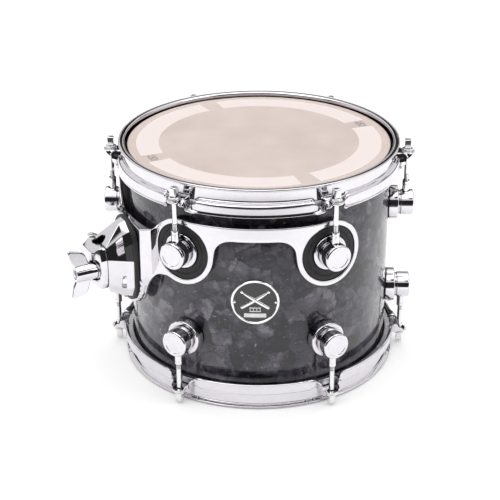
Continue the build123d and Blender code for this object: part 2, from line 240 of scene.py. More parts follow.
def stack(part, secs, phi, edge=0.6, ridge=0.8, ends=True, mat=0):
    """A ruled loft through rounded rectangles (x, w, h, r, y, z) with its ridges and end edges rounded."""
    loops = [[(s[0], y, z) for y, z in rrect(*s[1:])] for s in secs]

    def mix(a, b, t):
        return [tuple(p[i] * (1 - t) + q[i] * t for i in range(3)) for p, q in zip(a, b)]

    def span(a, b):
        return max(0.01, max((Vector(p) - Vector(q)).length for p, q in zip(a, b)))

    def place(row):
        return [at(phi, *q) for q in row] if phi is not None else row

    rows = []
    for i, s in enumerate(secs):
        if i in (0, len(secs) - 1):
            sgn = 1 if i == 0 else -1
            near = loops[1] if i == 0 else loops[-2]
            t = min(0.4, edge / span(loops[i], near))
            inner = mix(loops[i], near, t)
            end = [(s[0], y, z) for y, z in rrect(s[1] - 2 * edge, s[2] - 2 * edge, s[3] - edge * 0.6, s[4], s[5])]
            edge_rows = []
            for k in range(5):
                a = math.radians(22.5 * k)
                # from the end face's loop, round the edge, to the side
                u, w = math.sin(a), math.cos(a)
                edge_rows.append([tuple(
                    (e[c] + (o[c] - e[c]) * u) if c else (o[0] + (q[0] - o[0]) * (1 - w)) for c in range(3)) for e, o, q in zip(end, loops[i], inner)])
            part.cap(place(end), mat)
            rows += edge_rows if sgn > 0 else edge_rows[::-1]
        else:
            ta = min(0.4, ridge / span(loops[i], loops[i - 1]))
            tb = min(0.4, ridge / span(loops[i], loops[i + 1]))
            a, b = mix(loops[i], loops[i - 1], ta), mix(loops[i], loops[i + 1], tb)
            rows += [a, mix(mix(a, loops[i], 0.55), mix(loops[i], b, 0.2), 0.25), mix(mix(a, b, 0.5), loops[i], 0.5),
                     mix(mix(b, loops[i], 0.55), mix(loops[i], a, 0.2), 0.25), b]
    out = []
    for k, r in enumerate(rows):
        if k:
            d = span(rows[k - 1], r)
            m = int(d / 4)
            for j in range(1, m):
                out.append(mix(rows[k - 1], r, j / m))
        out.append(r)
    return part.rows([place(r) for r in out], mat=mat)


# ---- materials -------------------------------------------------------------------
class Graph:
    def __init__(self, name):
        self.mat = bpy.data.materials.new(name)
        self.mat.use_nodes = True
        self.t = self.mat.node_tree
        self.t.nodes.clear()
        self.out = self.t.nodes.new("ShaderNodeOutputMaterial")

    def n(self, kind, ins=None, **props):
        node = self.t.nodes.new("ShaderNode" + kind)
        for k, v in props.items():
            setattr(node, k, v)
        for k, v in (ins or {}).items():
            if isinstance(v, bpy.types.NodeSocket):
                self.t.links.new(v, node.inputs[k])
            else:
                node.inputs[k].default_value = v
        return node

    def math(self, op, a, b=0.0, c=None, clamp=False):
        ins = {0: a, 1: b}
        if c is not None:
            ins[2] = c
        return self.n("Math", ins, operation=op, use_clamp=clamp).outputs[0]

    def vmath(self, op, a, b=None, scale=None):
        ins = {0: a}
        if b is not None:
            ins[1] = b
        node = self.n("VectorMath", ins, operation=op)
        if scale is not None:
            if isinstance(scale, bpy.types.NodeSocket):
                self.t.links.new(scale, node.inputs["Scale"])
            else:
                node.inputs["Scale"].default_value = scale
        return node.outputs["Value"] if op in ("DOT_PRODUCT", "LENGTH", "DISTANCE") else node.outputs["Vector"]

    def ramp(self, fac, stops, interp="LINEAR"):
        node = self.n("ValToRGB", {"Fac": fac})
        cr = node.color_ramp
        cr.interpolation = interp
        while len(cr.elements) < len(stops):
            cr.elements.new(0.5)
        for e, (p, col) in zip(cr.elements, stops):
            e.position = p
            e.color = (*col, 1.0) if len(col) == 3 else col
        return node.outputs["Color"]

    def span(self, v, a, b, lo=0.0, hi=1.0, smooth=False):
        node = self.n("MapRange", {"Value": v, "From Min": a, "From Max": b, "To Min": lo, "To Max": hi},
                      interpolation_type="SMOOTHSTEP" if smooth else "LINEAR")
        node.clamp = True
        return node.outputs["Result"]

    def mix(self, fac, a, b, blend="MIX"):
        node = self.n("Mix", None, data_type="RGBA", blend_type=blend)
        for key, v in (("Factor_Float", fac), ("A_Color", a), ("B_Color", b)):
            s = next(x for x in node.inputs if x.identifier == key)
            if isinstance(v, bpy.types.NodeSocket):
                self.t.links.new(v, s)
            else:
                s.default_value = (*v, 1.0) if isinstance(v, tuple) and len(v) == 3 else v
        return next(x for x in node.outputs if x.identifier == "Result_Color")

    def coords(self):
        """Millimetres in the row frame."""
        tc = self.n("TexCoord")
        return self.vmath("SCALE", tc.outputs["Object"], scale=1000.0)

    def noise(self, vec, scale, detail=3.0, rough=0.5, distortion=0.0):
        return self.n("TexNoise", {"Vector": vec, "Scale": scale, "Detail": detail, "Roughness": rough, "Distortion": distortion})

    def bump(self, height, strength, distance=0.001, normal=None):
        ins = {"Height": height, "Strength": strength, "Distance": distance}
        if normal is not None:
            ins["Normal"] = normal
        return self.n("Bump", ins).outputs["Normal"]

    def surface(self, shader):
        self.t.links.new(shader, self.out.inputs["Surface"])
        return self.mat


def chrome(name, colour, rough, wave, grain=0.0, tint=0.02):
    g = Graph(name)
    p = g.coords()
    big = g.noise(p, 0.035, 2.0).outputs["Fac"]
    fine = g.noise(p, 0.9, 4.0, 0.6).outputs["Fac"]
    smudge = g.noise(p, 0.12, 5.0, 0.7, 0.6).outputs["Fac"]
    dark = tuple(c * (1 - 3 * tint) for c in colour)
    col = g.mix(g.span(smudge, 0.35, 0.7), dark, colour)
    # painted shade: the chrome's colour is darkened in its corners by ambient occlusion, standing in for the dark
    # recesses the chrome would mirror there
    painted_corner_shade = g.n("AmbientOcclusion", {"Distance": 0.009}, samples=8).outputs["AO"]
    col = g.mix(g.span(painted_corner_shade, 0.30, 0.80, 0.88, 0.0, True), col, (0.03, 0.028, 0.034))
    r = g.math("ADD", g.span(smudge, 0.3, 0.75, rough * 0.7, rough * 1.5), g.span(fine, 0.4, 0.8, 0.0, grain))
    nrm = g.bump(big, wave, 0.0012)
    nrm = g.bump(fine, 0.012 + grain, 0.00004, nrm)
    return g.surface(g.n("BsdfPrincipled", {"Base Color": col, "Metallic": 1.0, "Roughness": r, "Normal": nrm, "Specular IOR Level": 0.5}).outputs[0])


def brushed(name, colour, rough, radial=False, scale=1.0):
    g = Graph(name)
    p = g.coords()
    stretched = g.n("Mapping", {"Vector": p, "Scale": (0.35 * scale, 0.35 * scale, 9.0 * scale)}).outputs[0]
    lines = g.noise(stretched, 1.0, 4.0, 0.65).outputs["Fac"]
    blot = g.noise(p, 0.2, 3.0).outputs["Fac"]
    col = g.mix(g.span(blot, 0.3, 0.7), tuple(c * 0.86 for c in colour), colour)
    col = g.mix(g.span(lines, 0.3, 0.7, 0.0, 0.35), col, tuple(c * 0.72 for c in colour))
    r = g.span(lines, 0.3, 0.7, rough * 0.75, rough * 1.35)
    return g.surface(g.n("BsdfPrincipled", {"Base Color": col, "Metallic": 1.0, "Roughness": r, "Normal": g.bump(lines, 0.12, 0.0001)}).outputs[0])


def rubber(name, colour, rough, speck=1.0):
    g = Graph(name)
    p = g.coords()
    fine = g.noise(p, 2.2, 5.0, 0.7).outputs["Fac"]
    big = g.noise(p, 0.08, 3.0, 0.6).outputs["Fac"]
    col = g.mix(g.span(big, 0.35, 0.7), colour, tuple(min(1, c * 1.5 + 0.004) for c in colour))
    r = g.span(fine, 0.35, 0.7, rough - 0.06, rough + 0.1)
    return g.surface(g.n("BsdfPrincipled", {"Base Color": col, "Roughness": r, "Normal": g.bump(fine, 0.25 * speck, 0.00012), "Specular IOR Level": 0.42}).outputs[0])


def pearl_wrap():
    g = Graph("pearl_wrap")
    p = g.coords()
    sep = g.n("SeparateXYZ", {"Vector": p})
    x, y, z = sep.outputs
    ang = g.math("ARCTAN2", x, g.math("MULTIPLY", y, -1.0))
    s = g.math("MULTIPLY", ang, 126.5)
    flat = g.n("CombineXYZ", {"X": s, "Y": z, "Z": 0.0}).outputs[0]
    warp = g.noise(flat, 0.05, 3.0, 0.55).outputs["Color"]
    warp2 = g.noise(flat, 0.22, 3.0, 0.6).outputs["Color"]
    q = g.vmath("ADD", flat, g.vmath("SCALE", g.vmath("SUBTRACT", warp, (0.5, 0.5, 0.5)), scale=16.0))
    q = g.vmath("ADD", q, g.vmath("SCALE", g.vmath("SUBTRACT", warp2, (0.5, 0.5, 0.5)), scale=3.2))

    def plates(scale, off, squash):
        v = g.n("Mapping", {"Vector": q, "Location": off, "Scale": (scale, scale * squash, 1.0)}).outputs[0]
        f1 = g.n("TexVoronoi", {"Vector": v, "Scale": 1.0, "Randomness": 1.0}, voronoi_dimensions="2D", feature="F1")
        edge = g.n("TexVoronoi", {"Vector": v, "Scale": 1.0, "Randomness": 1.0}, voronoi_dimensions="2D", feature="DISTANCE_TO_EDGE")
        rnd = g.n("SeparateColor", {"Color": f1.outputs["Color"]})
        # painted sheen: a gradient across each plate, one side lighter, as if the plate caught the light
        local = g.vmath("SUBTRACT", v, f1.outputs["Position"])
        lean = g.vmath("SUBTRACT", f1.outputs["Color"], (0.5, 0.5, 0.5))
        tilt = g.vmath("DOT_PRODUCT", local, lean)
        return rnd.outputs[0], edge.outputs["Distance"], tilt, rnd.outputs[1]

    a_rnd, a_edge, a_painted_sheen, a_two = plates(0.050, (3.1, 7.7, 0), 1.15)
    b_rnd, b_edge, b_painted_sheen, b_two = plates(0.115, (11.3, 2.9, 0), 1.1)
    c_rnd, c_edge, c_tilt, c_two = plates(0.6, (5.3, 21.9, 0), 1.0)
    cloud = g.noise(q, 0.022, 3.0, 0.55).outputs["Fac"]
    wisp = g.noise(g.n("Mapping", {"Vector": q, "Rotation": (0, 0, 0.7), "Scale": (0.05, 0.17, 1)}).outputs[0], 1.0, 5.0, 0.62, 1.2).outputs["Fac"]
    # brightness of the pearl: each plate's own tone with the cloud and wisp pattern, plus a painted sheen that lightens
    # one side of each plate
    v = g.math("MULTIPLY", g.span(a_rnd, 0.1, 0.95, 0.0, 1.0), 0.40)
    v = g.math("ADD", v, g.math("MULTIPLY", a_painted_sheen, 0.55))
    v = g.math("ADD", v, g.math("MULTIPLY", b_rnd, 0.14))
    v = g.math("ADD", v, g.math("MULTIPLY", b_painted_sheen, 0.20))
    v = g.math("ADD", v, g.span(cloud, 0.36, 0.66, -0.04, 0.28))
    v = g.math("ADD", v, g.span(wisp, 0.35, 0.72, -0.05, 0.16))
    edge_soft = g.span(a_edge, 0.0, 0.08, -0.16, 0.0, True)
    v = g.math("ADD", v, edge_soft, clamp=True)
    col = g.ramp(v, [(0.0, (0.006, 0.0052, 0.009)), (0.2, (0.020, 0.0175, 0.028)), (0.5, (0.060, 0.054, 0.075)),
                     (0.78, (0.108, 0.101, 0.125)), (1.0, (0.18, 0.172, 0.20))])
    # thin dark cracks along some of the plates' edges
    where = g.span(g.noise(q, 0.045, 2.0).outputs["Fac"], 0.41, 0.54)
    crack = g.math("MULTIPLY", g.span(a_edge, 0.006, 0.034, 1.0, 0.0), where)
    crack_b = g.math("MULTIPLY", g.span(b_edge, 0.006, 0.042, 1.0, 0.0), g.span(g.noise(q, 0.06, 2.0, 0.5, 0.4).outputs["Fac"], 0.50, 0.62, 0.0, 0.85))
    crack = g.math("MAXIMUM", crack, crack_b)
    col = g.mix(g.math("MULTIPLY", crack, 0.9), col, (0.002, 0.002, 0.003))
    # small bright flecks
    fleck = g.math("MULTIPLY", g.span(c_rnd, 0.93, 0.95), g.span(c_edge, 0.05, 0.2))
    fleck = g.math("MULTIPLY", fleck, g.span(wisp, 0.5, 0.62))
    col = g.mix(g.math("MULTIPLY", fleck, 0.8), col, (0.36, 0.36, 0.39))
    # overlap seam of the sheet, at the back
    seam = g.span(g.math("ABSOLUTE", g.math("SUBTRACT", g.math("ABSOLUTE", s), 372.0)), 0.15, 0.5, 1.0, 0.0)
    seam = g.math("MULTIPLY", seam, g.span(s, 0.0, 1.0))
    col = g.mix(seam, col, (0.001, 0.001, 0.0015))
    peel = g.noise(p, 0.16, 2.0).outputs["Fac"]
    nrm = g.bump(peel, 0.05, 0.0008)
    height = g.math("SUBTRACT", g.math("MULTIPLY", crack, -0.4), g.math("MULTIPLY", seam, 2.0))
    nrm = g.bump(height, 0.25, 0.00006, nrm)
    sheen = g.math("ADD", 0.30, g.math("MULTIPLY", a_two, 0.2))
    return g.surface(g.n("BsdfPrincipled", {"Base Color": col, "Metallic": 0.15, "Roughness": sheen, "Normal": nrm, "Coat Weight": 1.0,
                                             "Coat Roughness": 0.045, "Coat IOR": 1.5, "Coat Normal": nrm, "Specular IOR Level": 0.25}).outputs[0])


def maple():
    g = Graph("maple_ply")
    p = g.coords()
    sep = g.n("SeparateXYZ", {"Vector": p})
    x, y, z = sep.outputs
    s = g.math("MULTIPLY", g.math("ARCTAN2", x, g.math("MULTIPLY", y, -1.0)), 120.0)
    flat = g.n("CombineXYZ", {"X": s, "Y": z, "Z": 0.0}).outputs[0]
    # grain runs round the shell
    grain = g.noise(g.n("Mapping", {"Vector": flat, "Scale": (0.012, 0.35, 1)}).outputs[0], 1.0, 6.0, 0.6, 0.5).outputs["Fac"]
    pores = g.noise(g.n("Mapping", {"Vector": flat, "Scale": (0.12, 2.2, 1)}).outputs[0], 1.0, 3.0, 0.6).outputs["Fac"]
    cloud = g.noise(flat, 0.03, 3.0).outputs["Fac"]
    # plies show on the bearing edges, where the surface cuts through the wall
    radius = g.vmath("LENGTH", g.n("CombineXYZ", {"X": x, "Y": y, "Z": 0.0}).outputs[0])
    ply = g.math("SINE", g.math("MULTIPLY", radius, 6.2))
    edge = g.span(g.math("ABSOLUTE", g.math("SUBTRACT", z, HT / 2)), HT / 2 - 7.9, HT / 2 - 7.6)
    col = g.ramp(grain, [(0.3, (0.80, 0.63, 0.49)), (0.5, (0.86, 0.72, 0.59)), (0.75, (0.90, 0.78, 0.66))])
    col = g.mix(g.span(cloud, 0.35, 0.7, 0.0, 0.3), col, (0.80, 0.64, 0.50))
    col = g.mix(g.span(pores, 0.6, 0.8, 0.0, 0.35), col, (0.62, 0.44, 0.30))
    col = g.mix(g.math("MULTIPLY", edge, g.span(ply, 0.2, 0.7, 0.0, 0.5)), col, (0.50, 0.33, 0.20))
    r = g.span(grain, 0.3, 0.7, 0.32, 0.46)
    return g.surface(g.n("BsdfPrincipled", {"Base Color": col, "Roughness": r, "Normal": g.bump(grain, 0.08, 0.0002), "Coat Weight": 0.25,
                                             "Coat Roughness": 0.2, "Specular IOR Level": 0.4}).outputs[0])


def head_film(name, haze, coat, gaps=(), marks=()):
    """Clear film; coat gives the (inner, outer) radius of its white coated band, gaps the stations where the band is left out, marks the gaps with a plain boxed dot."""
    g = Graph(name)
    p = g.coords()
    sep = g.n("SeparateXYZ", {"Vector": p})
    x, y, z = sep.outputs
    radius = g.vmath("LENGTH", g.n("CombineXYZ", {"X": x, "Y": y, "Z": 0.0}).outputs[0])
    fine = g.noise(p, 1.6, 4.0, 0.7).outputs["Fac"]
    soft = g.noise(p, 0.02, 2.0).outputs["Fac"]
    clear = g.n("BsdfTransparent", {"Color": (0.985, 0.965, 0.95, 1)}).outputs[0]
    fog = g.n("BsdfPrincipled", {"Base Color": (1.0, 0.90, 0.865, 1), "Roughness": 0.22, "Normal": g.bump(fine, 0.02, 0.00002),
                                 "Specular IOR Level": 0.5}).outputs[0]
    glow = g.n("BsdfTranslucent", {"Color": (0.98, 0.92, 0.89, 1)}).outputs[0]
    fog = g.n("MixShader", {"Fac": 0.22, 1: fog, 2: glow}).outputs[0]
    film = g.n("MixShader", {"Fac": g.span(soft, 0.3, 0.7, haze * 0.9, haze * 1.1), 1: clear, 2: fog}).outputs[0]
    if coat:
        wob = g.math("MULTIPLY", g.math("SUBTRACT", g.noise(p, 0.5, 2.0).outputs["Fac"], 0.5), 0.5)
        rr = g.math("ADD", radius, wob)
        mask = g.math("MULTIPLY", g.span(rr, coat[0] - 0.5, coat[0] + 0.5), g.span(rr, coat[1] + 0.4, coat[1] - 0.4))
        ang = g.math("ARCTAN2", x, g.math("MULTIPLY", y, -1.0))
        def off(station, at_radius=None):
            return g.math("MULTIPLY", g.math("WRAP", g.math("SUBTRACT", ang, math.radians(station)), math.pi, -math.pi), at_radius or 107.0)

        for a in gaps:
            mask = g.math("MULTIPLY", mask, g.span(g.math("ABSOLUTE", off(a)), 8.1, 8.9))
        spray = g.span(fine, 0.25, 0.6, 0.93, 0.99)
        body = g.n("BsdfPrincipled", {"Base Color": (0.97, 0.885, 0.865, 1), "Roughness": g.span(fine, 0.3, 0.7, 0.48, 0.62),
                                      "Normal": g.bump(fine, 0.3, 0.00008), "Specular IOR Level": 0.3}).outputs[0]
        body = g.n("MixShader", {"Fac": 0.22, 1: body, 2: glow}).outputs[0]
        film = g.n("MixShader", {"Fac": g.math("MULTIPLY", mask, spray), 1: film, 2: body}).outputs[0]
        ink_mask = None
        for a in marks:
            u, v = g.math("ABSOLUTE", off(a, 110.0)), g.math("ABSOLUTE", g.math("SUBTRACT", radius, 109.5))
            box = g.math("MAXIMUM", g.math("SUBTRACT", u, 5.2), g.math("SUBTRACT", v, 3.0))
            line = g.span(g.math("ABSOLUTE", box), 0.25, 0.55, 1.0, 0.0)
            dot = g.span(g.math("SQRT", g.math("ADD", g.math("MULTIPLY", u, u), g.math("MULTIPLY", v, v))), 1.3, 1.6, 1.0, 0.0)
            one = g.math("MAXIMUM", line, dot)
            ink_mask = one if ink_mask is None else g.math("MAXIMUM", ink_mask, one)
        if ink_mask is not None:
            ink = g.n("BsdfPrincipled", {"Base Color": (0.07, 0.065, 0.07, 1), "Roughness": 0.5}).outputs[0]
            film = g.n("MixShader", {"Fac": g.math("MULTIPLY", ink_mask, 0.95), 1: film, 2: ink}).outputs[0]
    # painted shade: the collar over the shell's edge is tinted dark, standing in for the shade between shell and hoop
    painted_collar_shade = g.n("BsdfTransparent", {"Color": (0.30, 0.27, 0.26, 1)}).outputs[0]
    film = g.n("MixShader", {"Fac": g.span(radius, 125.3, 126.3), 1: film, 2: painted_collar_shade}).outputs[0]
    return g.surface(film)


def enamel(name, colour, rough, lines=0.0):
    g = Graph(name)
    p = g.coords()
    fine = g.noise(p, 1.1, 4.0, 0.6).outputs["Fac"]
    big = g.noise(p, 0.1, 2.0).outputs["Fac"]
    col = g.mix(g.span(big, 0.3, 0.7), tuple(c * 0.9 for c in colour), tuple(min(1.0, c * 1.06) for c in colour))
    return g.surface(g.n("BsdfPrincipled", {"Base Color": col, "Roughness": g.span(fine, 0.3, 0.7, rough * 0.8, rough * 1.2),
                                             "Normal": g.bump(fine, 0.04, 0.0001), "Coat Weight": 0.6, "Coat Roughness": 0.06}).outputs[0])


CHROME = (0.80, 0.778, 0.815)
M_HOOP = chrome("hoop_chrome", CHROME, 0.045, 0.10)
M_LUG = chrome("lug_chrome", CHROME, 0.04, 0.05)
M_ROD = chrome("rod_chrome", (0.84, 0.835, 0.845), 0.08, 0.03)
M_NUT = chrome("nut_plate", (0.86, 0.855, 0.865), 0.06, 0.03)
M_PLATE = chrome("plate_chrome", CHROME, 0.035, 0.09)
M_BRACKET = chrome("bracket_chrome", (0.79, 0.77, 0.805), 0.05, 0.10)
M_BADGE = chrome("badge_chrome", (0.92, 0.92, 0.93), 0.12, 0.03)
M_VENT = chrome("vent_chrome", (0.86, 0.86, 0.87), 0.09, 0.03)
M_WASHER = brushed("washer_steel", (0.74, 0.74, 0.76), 0.24)
M_SCREW = brushed("screw_steel", (0.76, 0.75, 0.76), 0.26)
M_PIN = brushed("pin_steel", (0.82, 0.82, 0.84), 0.2)
M_FLESH = brushed("flesh_aluminium", (0.80, 0.80, 0.82), 0.3)
M_GASKET = rubber("gasket_rubber", (0.012, 0.012, 0.013), 0.55)
M_ISO = rubber("isolator_rubber", (0.016, 0.0155, 0.017), 0.50)
M_PAD = rubber("bracket_rubber", (0.020, 0.0195, 0.021), 0.45, 0.6)
M_WRAP = pearl_wrap()
M_MAPLE = maple()
M_FILM_A = head_film("batter_film", 0.60, (96.0, 117.5), (-151.8, 25.0, -62.5, 115.0), (-62.5, 115.0))
M_FILM_B = head_film("resonant_film", 0.45, None)
M_FACE = enamel("badge_enamel", (0.018, 0.017, 0.020), 0.30)
M_LABEL = enamel("badge_label", (0.97, 0.97, 0.97), 0.35)

# ---- CAD nodes that show as they are -----------------------------------------------
KEEP = {"shell": M_MAPLE, "batter_flesh_hoop": M_FLESH, "resonant_flesh_hoop": M_FLESH, "lug_screws": M_SCREW, "lug_screw_washers": M_WASHER,
        "lug_gaskets": M_GASKET, "bracket_bolts": M_SCREW}
for name, m in KEEP.items():
    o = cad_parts[name]
    o.data.materials.clear()
    o.data.materials.append(m)
    o.data.polygons.foreach_set("use_smooth", [True] * len(o.data.polygons))

# ---- wrap ---------------------------------------------------------------------------
p = Part()
lathe_z(p, soften([(125.93, 7.5), (126.5, 7.5), (126.5, HT - 7.5), (125.93, HT - 7.5)], [0.1, 0.2, 0.2, 0.1], 2, True), n=360, loop=True)
drill = lathe_x(Part(), [(110, 0), (110, 6.05), (135, 6.05), (135, 0)], 180, 0, HT / 2, 48)
make("pearl_wrap_sheet", carve(p, [drill]), M_WRAP, "drum", ["shell_wrap"], 25)

# ---- heads ------------------------------------------------------------------------------
zt = HT
film = [(0, zt - 3.9), (60, zt - 3.9), (100, zt - 3.9), (124.2, zt - 3.9), (125.2, zt - 3.96), (126.0, zt - 4.18), (126.7, zt - 4.65), (127.2, zt - 5.6), (127.4, zt - 6.6), (127.6, zt - 13.2),
        (128.5, zt - 16.8), (128.5, zt - 20.6), (128.2, zt - 20.6), (128.2, zt - 16.85), (127.3, zt - 13.25), (127.1, zt - 6.7), (126.9, zt - 5.75),
        (126.5, zt - 4.88), (125.8, zt - 4.42), (125.0, zt - 4.22), (124.0, zt - 4.2), (100, zt - 4.2), (60, zt - 4.2), (0, zt - 4.2)]
p = lathe_z(Part(), film, n=240)
make("batter_film_skin", p, M_FILM_A, "drum", ["batter_head_film"], 40)
low = Part().copy_of(p, 0, True)
make("resonant_film_skin", low, M_FILM_B, "drum", ["resonant_head_film"], 40)

# ---- hoops ----------------------------------------------------------------------------------
def smooth(t):
    t = max(0.0, min(1.0, t))
    return t * t * (3 - 2 * t)


def blend(a, b, t):
    return tuple(u + (w - u) * t for u, w in zip(a, b))


# outer face of the sheet under the hoop's wall, (radius, height below the rim), at four places round from an ear
LIP = [(5.5, 147.0, -14.3), (6.0, 146.8, -15.0), (6.8, 145.4, -16.6), (8.0, 143.0, -19.0), (10.0, 141.0, -21.6), (12.0, 139.6, -23.4), (14.5, 138.3, -24.6), (17.5, 137.3, -25.4), (21.0, 136.6, -25.8), (99.0, 136.4, -25.8)]
EAR = [(131.2, -13.3), (133.6, -13.75), (136.8, -13.8), (139.8, -13.8), (142.5, -13.8), (145.0, -13.8)]
SIDE = [(131.2, -13.2), (134.0, -13.5), (137.5, -13.8), (140.0, -14.6), (141.5, -16.0), (142.5, -17.6)]
VALLEY = [(130.9, -14.5), (131.2, -17.0), (131.9, -19.5), (133.2, -21.4), (135.2, -22.5), (137.4, -22.9)]
SKIRT = [(130.9, -13.2), (132.0, -14.2), (134.2, -14.9), (135.6, -16.2), (135.8, -18.0), (135.8, -24.2)]
BENDS = (0.9, 1.1, 1.1, 1.3, 1.3, 1.2, 0.7)
SHEET = 2.0


def lip_at(t):
    for (t0, r0, z0), (t1, r1, z1) in zip(LIP, LIP[1:]):
        if t <= t1:
            k = max(0.0, (t - t0) / (t1 - t0))
            return (r0 + (r1 - r0) * k, z0 + (z1 - z0) * k)
    return LIP[-1][1:]


def bent(pts, cuts, seg=4):
    """The polyline with every inner corner eased, always into the same number of points."""
    out = [pts[0]]
    for p, a, b, cut in zip(pts[1:-1], pts, pts[2:], cuts):
        la, lb = math.dist(a, p), math.dist(b, p)
        d = min(cut, 0.48 * la, 0.48 * lb)
        s, e = blend(p, a, d / max(la, 1e-6)), blend(p, b, d / max(lb, 1e-6))
        for k in range(seg + 1):
            u = k / seg
            out.append(tuple(s[i] * (1 - u) ** 2 + 2 * p[i] * u * (1 - u) + e[i] * u * u for i in (0, 1)))
    out.append(pts[-1])
    return out


def hoop_section(t):
    """Closed section (r, z below the rim) of the pressed hoop at a distance t round from the nearest ear."""
    t = abs(t)
    wall = soften([(128.5, -15.2), (128.5, 0), (134.7, 0), (134.7, -2.1), (130.8, -3.3), (130.8, -12.0)], [0, 2.1, 1.0, 0.9, 1.3, 0], 4)
    w_side, w_valley = smooth((t - 5.2) / 2.4), smooth((t - 8.0) / 3.0)
    w_skirt = (smooth((t - 15.0) / 5.0), smooth((t - 15.0) / 5.0), smooth((t - 13.0) / 5.0), smooth((t - 13.0) / 5.0), smooth((t - 11.5) / 3.5), smooth((t - 11.5) / 3.5))
    flange = []
    for k in range(6):
        q = blend(EAR[k], SIDE[k], w_side)
        q = blend(q, VALLEY[k], w_valley)
        flange.append(blend(q, SKIRT[k], w_skirt[k]))
    round_r = math.sqrt(max(0.0, 6.9 ** 2 - min(t, 5.5) ** 2))
    flange.append(blend((ROD_R + round_r - 0.5 * (t / 5.5 if t < 5.5 else 1.0) ** 4, -13.8), lip_at(t), w_side if t > 5.2 else 0.0))
    if t < 7.6:
        # the last points before the lip keep inside the ear's outline
        end = flange[-1][0]
        flange[5] = (min(flange[5][0], end - 1.2), flange[5][1])
        flange[4] = (min(flange[4][0], end - 2.6), flange[4][1])
    outer = bent([wall[-1]] + flange, BENDS)
    n = len(outer)
    under = []
    for i in range(n):
        a, b = outer[max(0, i - 2)], outer[min(n - 1, i + 2)]
        dx_, dz_ = b[0] - a[0], b[1] - a[1]
        ln = math.hypot(dx_, dz_)
        under.append((outer[i][0] + dz_ / ln * SHEET, outer[i][1] - dx_ / ln * SHEET))
    for _ in range(4):
        under = [under[0]] + [tuple(under[i][c] * 0.5 + (under[i - 1][c] + under[i + 1][c]) * 0.25 for c in (0, 1)) for i in range(1, n - 1)] + [under[-1]]
    # the cut edge of the sheet, slightly rounded
    o, u = outer[-1], under[-1]
    bx, bz = outer[-1][0] - outer[-2][0], outer[-1][1] - outer[-2][1]
    ln = math.hypot(bx, bz)
    bx, bz = bx / ln * 0.35, bz / ln * 0.35
    lip = [(o[0] + (u[0] - o[0]) * k + bx * w, o[1] + (u[1] - o[1]) * k + bz * w) for k, w in ((0.08, 0.6), (0.22, 1.0), (0.78, 1.0), (0.92, 0.6))]
    back = [(max(q[0], 129.0), q[1]) for q in reversed(under[13:])]
    return list(wall) + outer[1:] + lip + back + [(129.1, min(-15.4, back[-1][1] + 1.0))]


def hoop():
    near = [0, 0.8, 1.6, 2.4, 3.2, 3.9, 4.5, 5.0, 5.3, 5.6, 5.9, 6.2, 6.6, 7.0, 7.4, 7.8, 8.2, 8.7, 9.2, 9.7, 10.2, 10.7, 11.2, 11.7, 12.2, 12.8, 13.4, 14.0, 14.6, 15.2, 15.8, 16.4, 17.0, 17.7, 18.4, 19.2, 20.0, 21.0, 22.5]
    cols = []
    for p in STATIONS:
        cols += [(p + math.degrees(t / ROD_R), t) for t in sorted([-x for x in near[1:]] + near)]
        a0, a1 = math.degrees(22.5 / ROD_R), 60 - math.degrees(22.5 / ROD_R)
        cols += [(p + a0 + (a1 - a0) * k / 28, 30.0) for k in range(1, 28)]
    rows = [[at(phi, r, 0, HT + z) for r, z in hoop_section(t)] for phi, t in cols]
    out = Part().rows(rows, loop=True)
    holes = Part()
    for p in STATIONS:
        cx, cy, _ = at(p, ROD_R, 0, 0)
        lathe_z(holes, [(0, HT - 30), (3.2, HT - 30), (3.2, HT - 5), (0, HT - 5)], cx, cy, 40)
    return carve(out, [holes])


HOOP = hoop()
make("batter_hoop_pressed", HOOP, M_HOOP, "batter_hoop", ["batter_hoop"], 42)
make("resonant_hoop_pressed", Part().copy_of(HOOP, 0, True), M_HOOP, "resonant_hoop", ["resonant_hoop"], 42)


# ---- tension rods, washers and tube nuts ---------------------------------------------------
def thread(part, cx, cy, r, depth, pitch, z0, z1, n=24, step=6, axis=None):
    """A helical thread as rows of points; axis maps (a, b, along) to a place."""
    rows = []
    m = int((z1 - z0) / pitch * step)
    for i in range(m + 1):
        z = z0 + (z1 - z0) * i / m
        row = []
        for j in range(n):
            a = TAU * j / n
            ph = (z / pitch - j / n) % 1.0
            d = depth * abs(2 * ph - 1)
            fade = min(1.0, (z1 - z) / (1.5 * pitch), (z - z0) / (1.0 * pitch) + 0.15)
            rr = r - d * max(0.0, fade)
            u, w = rr * math.cos(a), rr * math.sin(a)
            row.append(axis(u, w, z) if axis else (cx + u, cy + w, z))
        rows.append(row)
    return part.rows(rows)


def rod():
    p = Part()
    cx, cy, _ = at(0, ROD_R, 0, 0)
    z0, collar = LUG_Z - 3.0, TAB_TOP + 1.25
    lathe_z(p, [(0, z0), (1.5, z0), (1.75, z0 + 0.15), (2.15, z0 + 0.75)], cx, cy, 24)
    thread(p, cx, cy, 2.4, 0.27, 0.8, z0 + 0.75, z0 + 34.0)
    lathe_z(p, [(2.4, z0 + 34.0), (2.4, collar - 0.6), (2.6, collar)], cx, cy, 24)
    lathe_z(p, soften([(2.4, collar), (5.25, collar), (5.25, collar + 1.6), (2.6, collar + 1.75), (2.6, collar + 1.2)], [0, 0.35, 0.5, 0.2, 0], 3), cx, cy, 48)
    rows = []
    for z, w, r in ((collar + 1.3, 6.2, 0.7), (collar + 1.6, 6.2, 0.7), (HT - 2.9, 6.2, 0.7), (HT - 2.55, 6.05, 0.75), (HT - 2.25, 5.6, 0.9), (HT - 2.08, 5.0, 1.0), (HT - 2.0, 4.2, 1.0)):
        rows.append([at(0, ROD_R + a, b, z) for a, b in rrect(w, w, r, 0, 0, 4, 4)])
    p.rows(rows)
    p.cap(rows[-1])
    p.cap(rows[0])
    return p


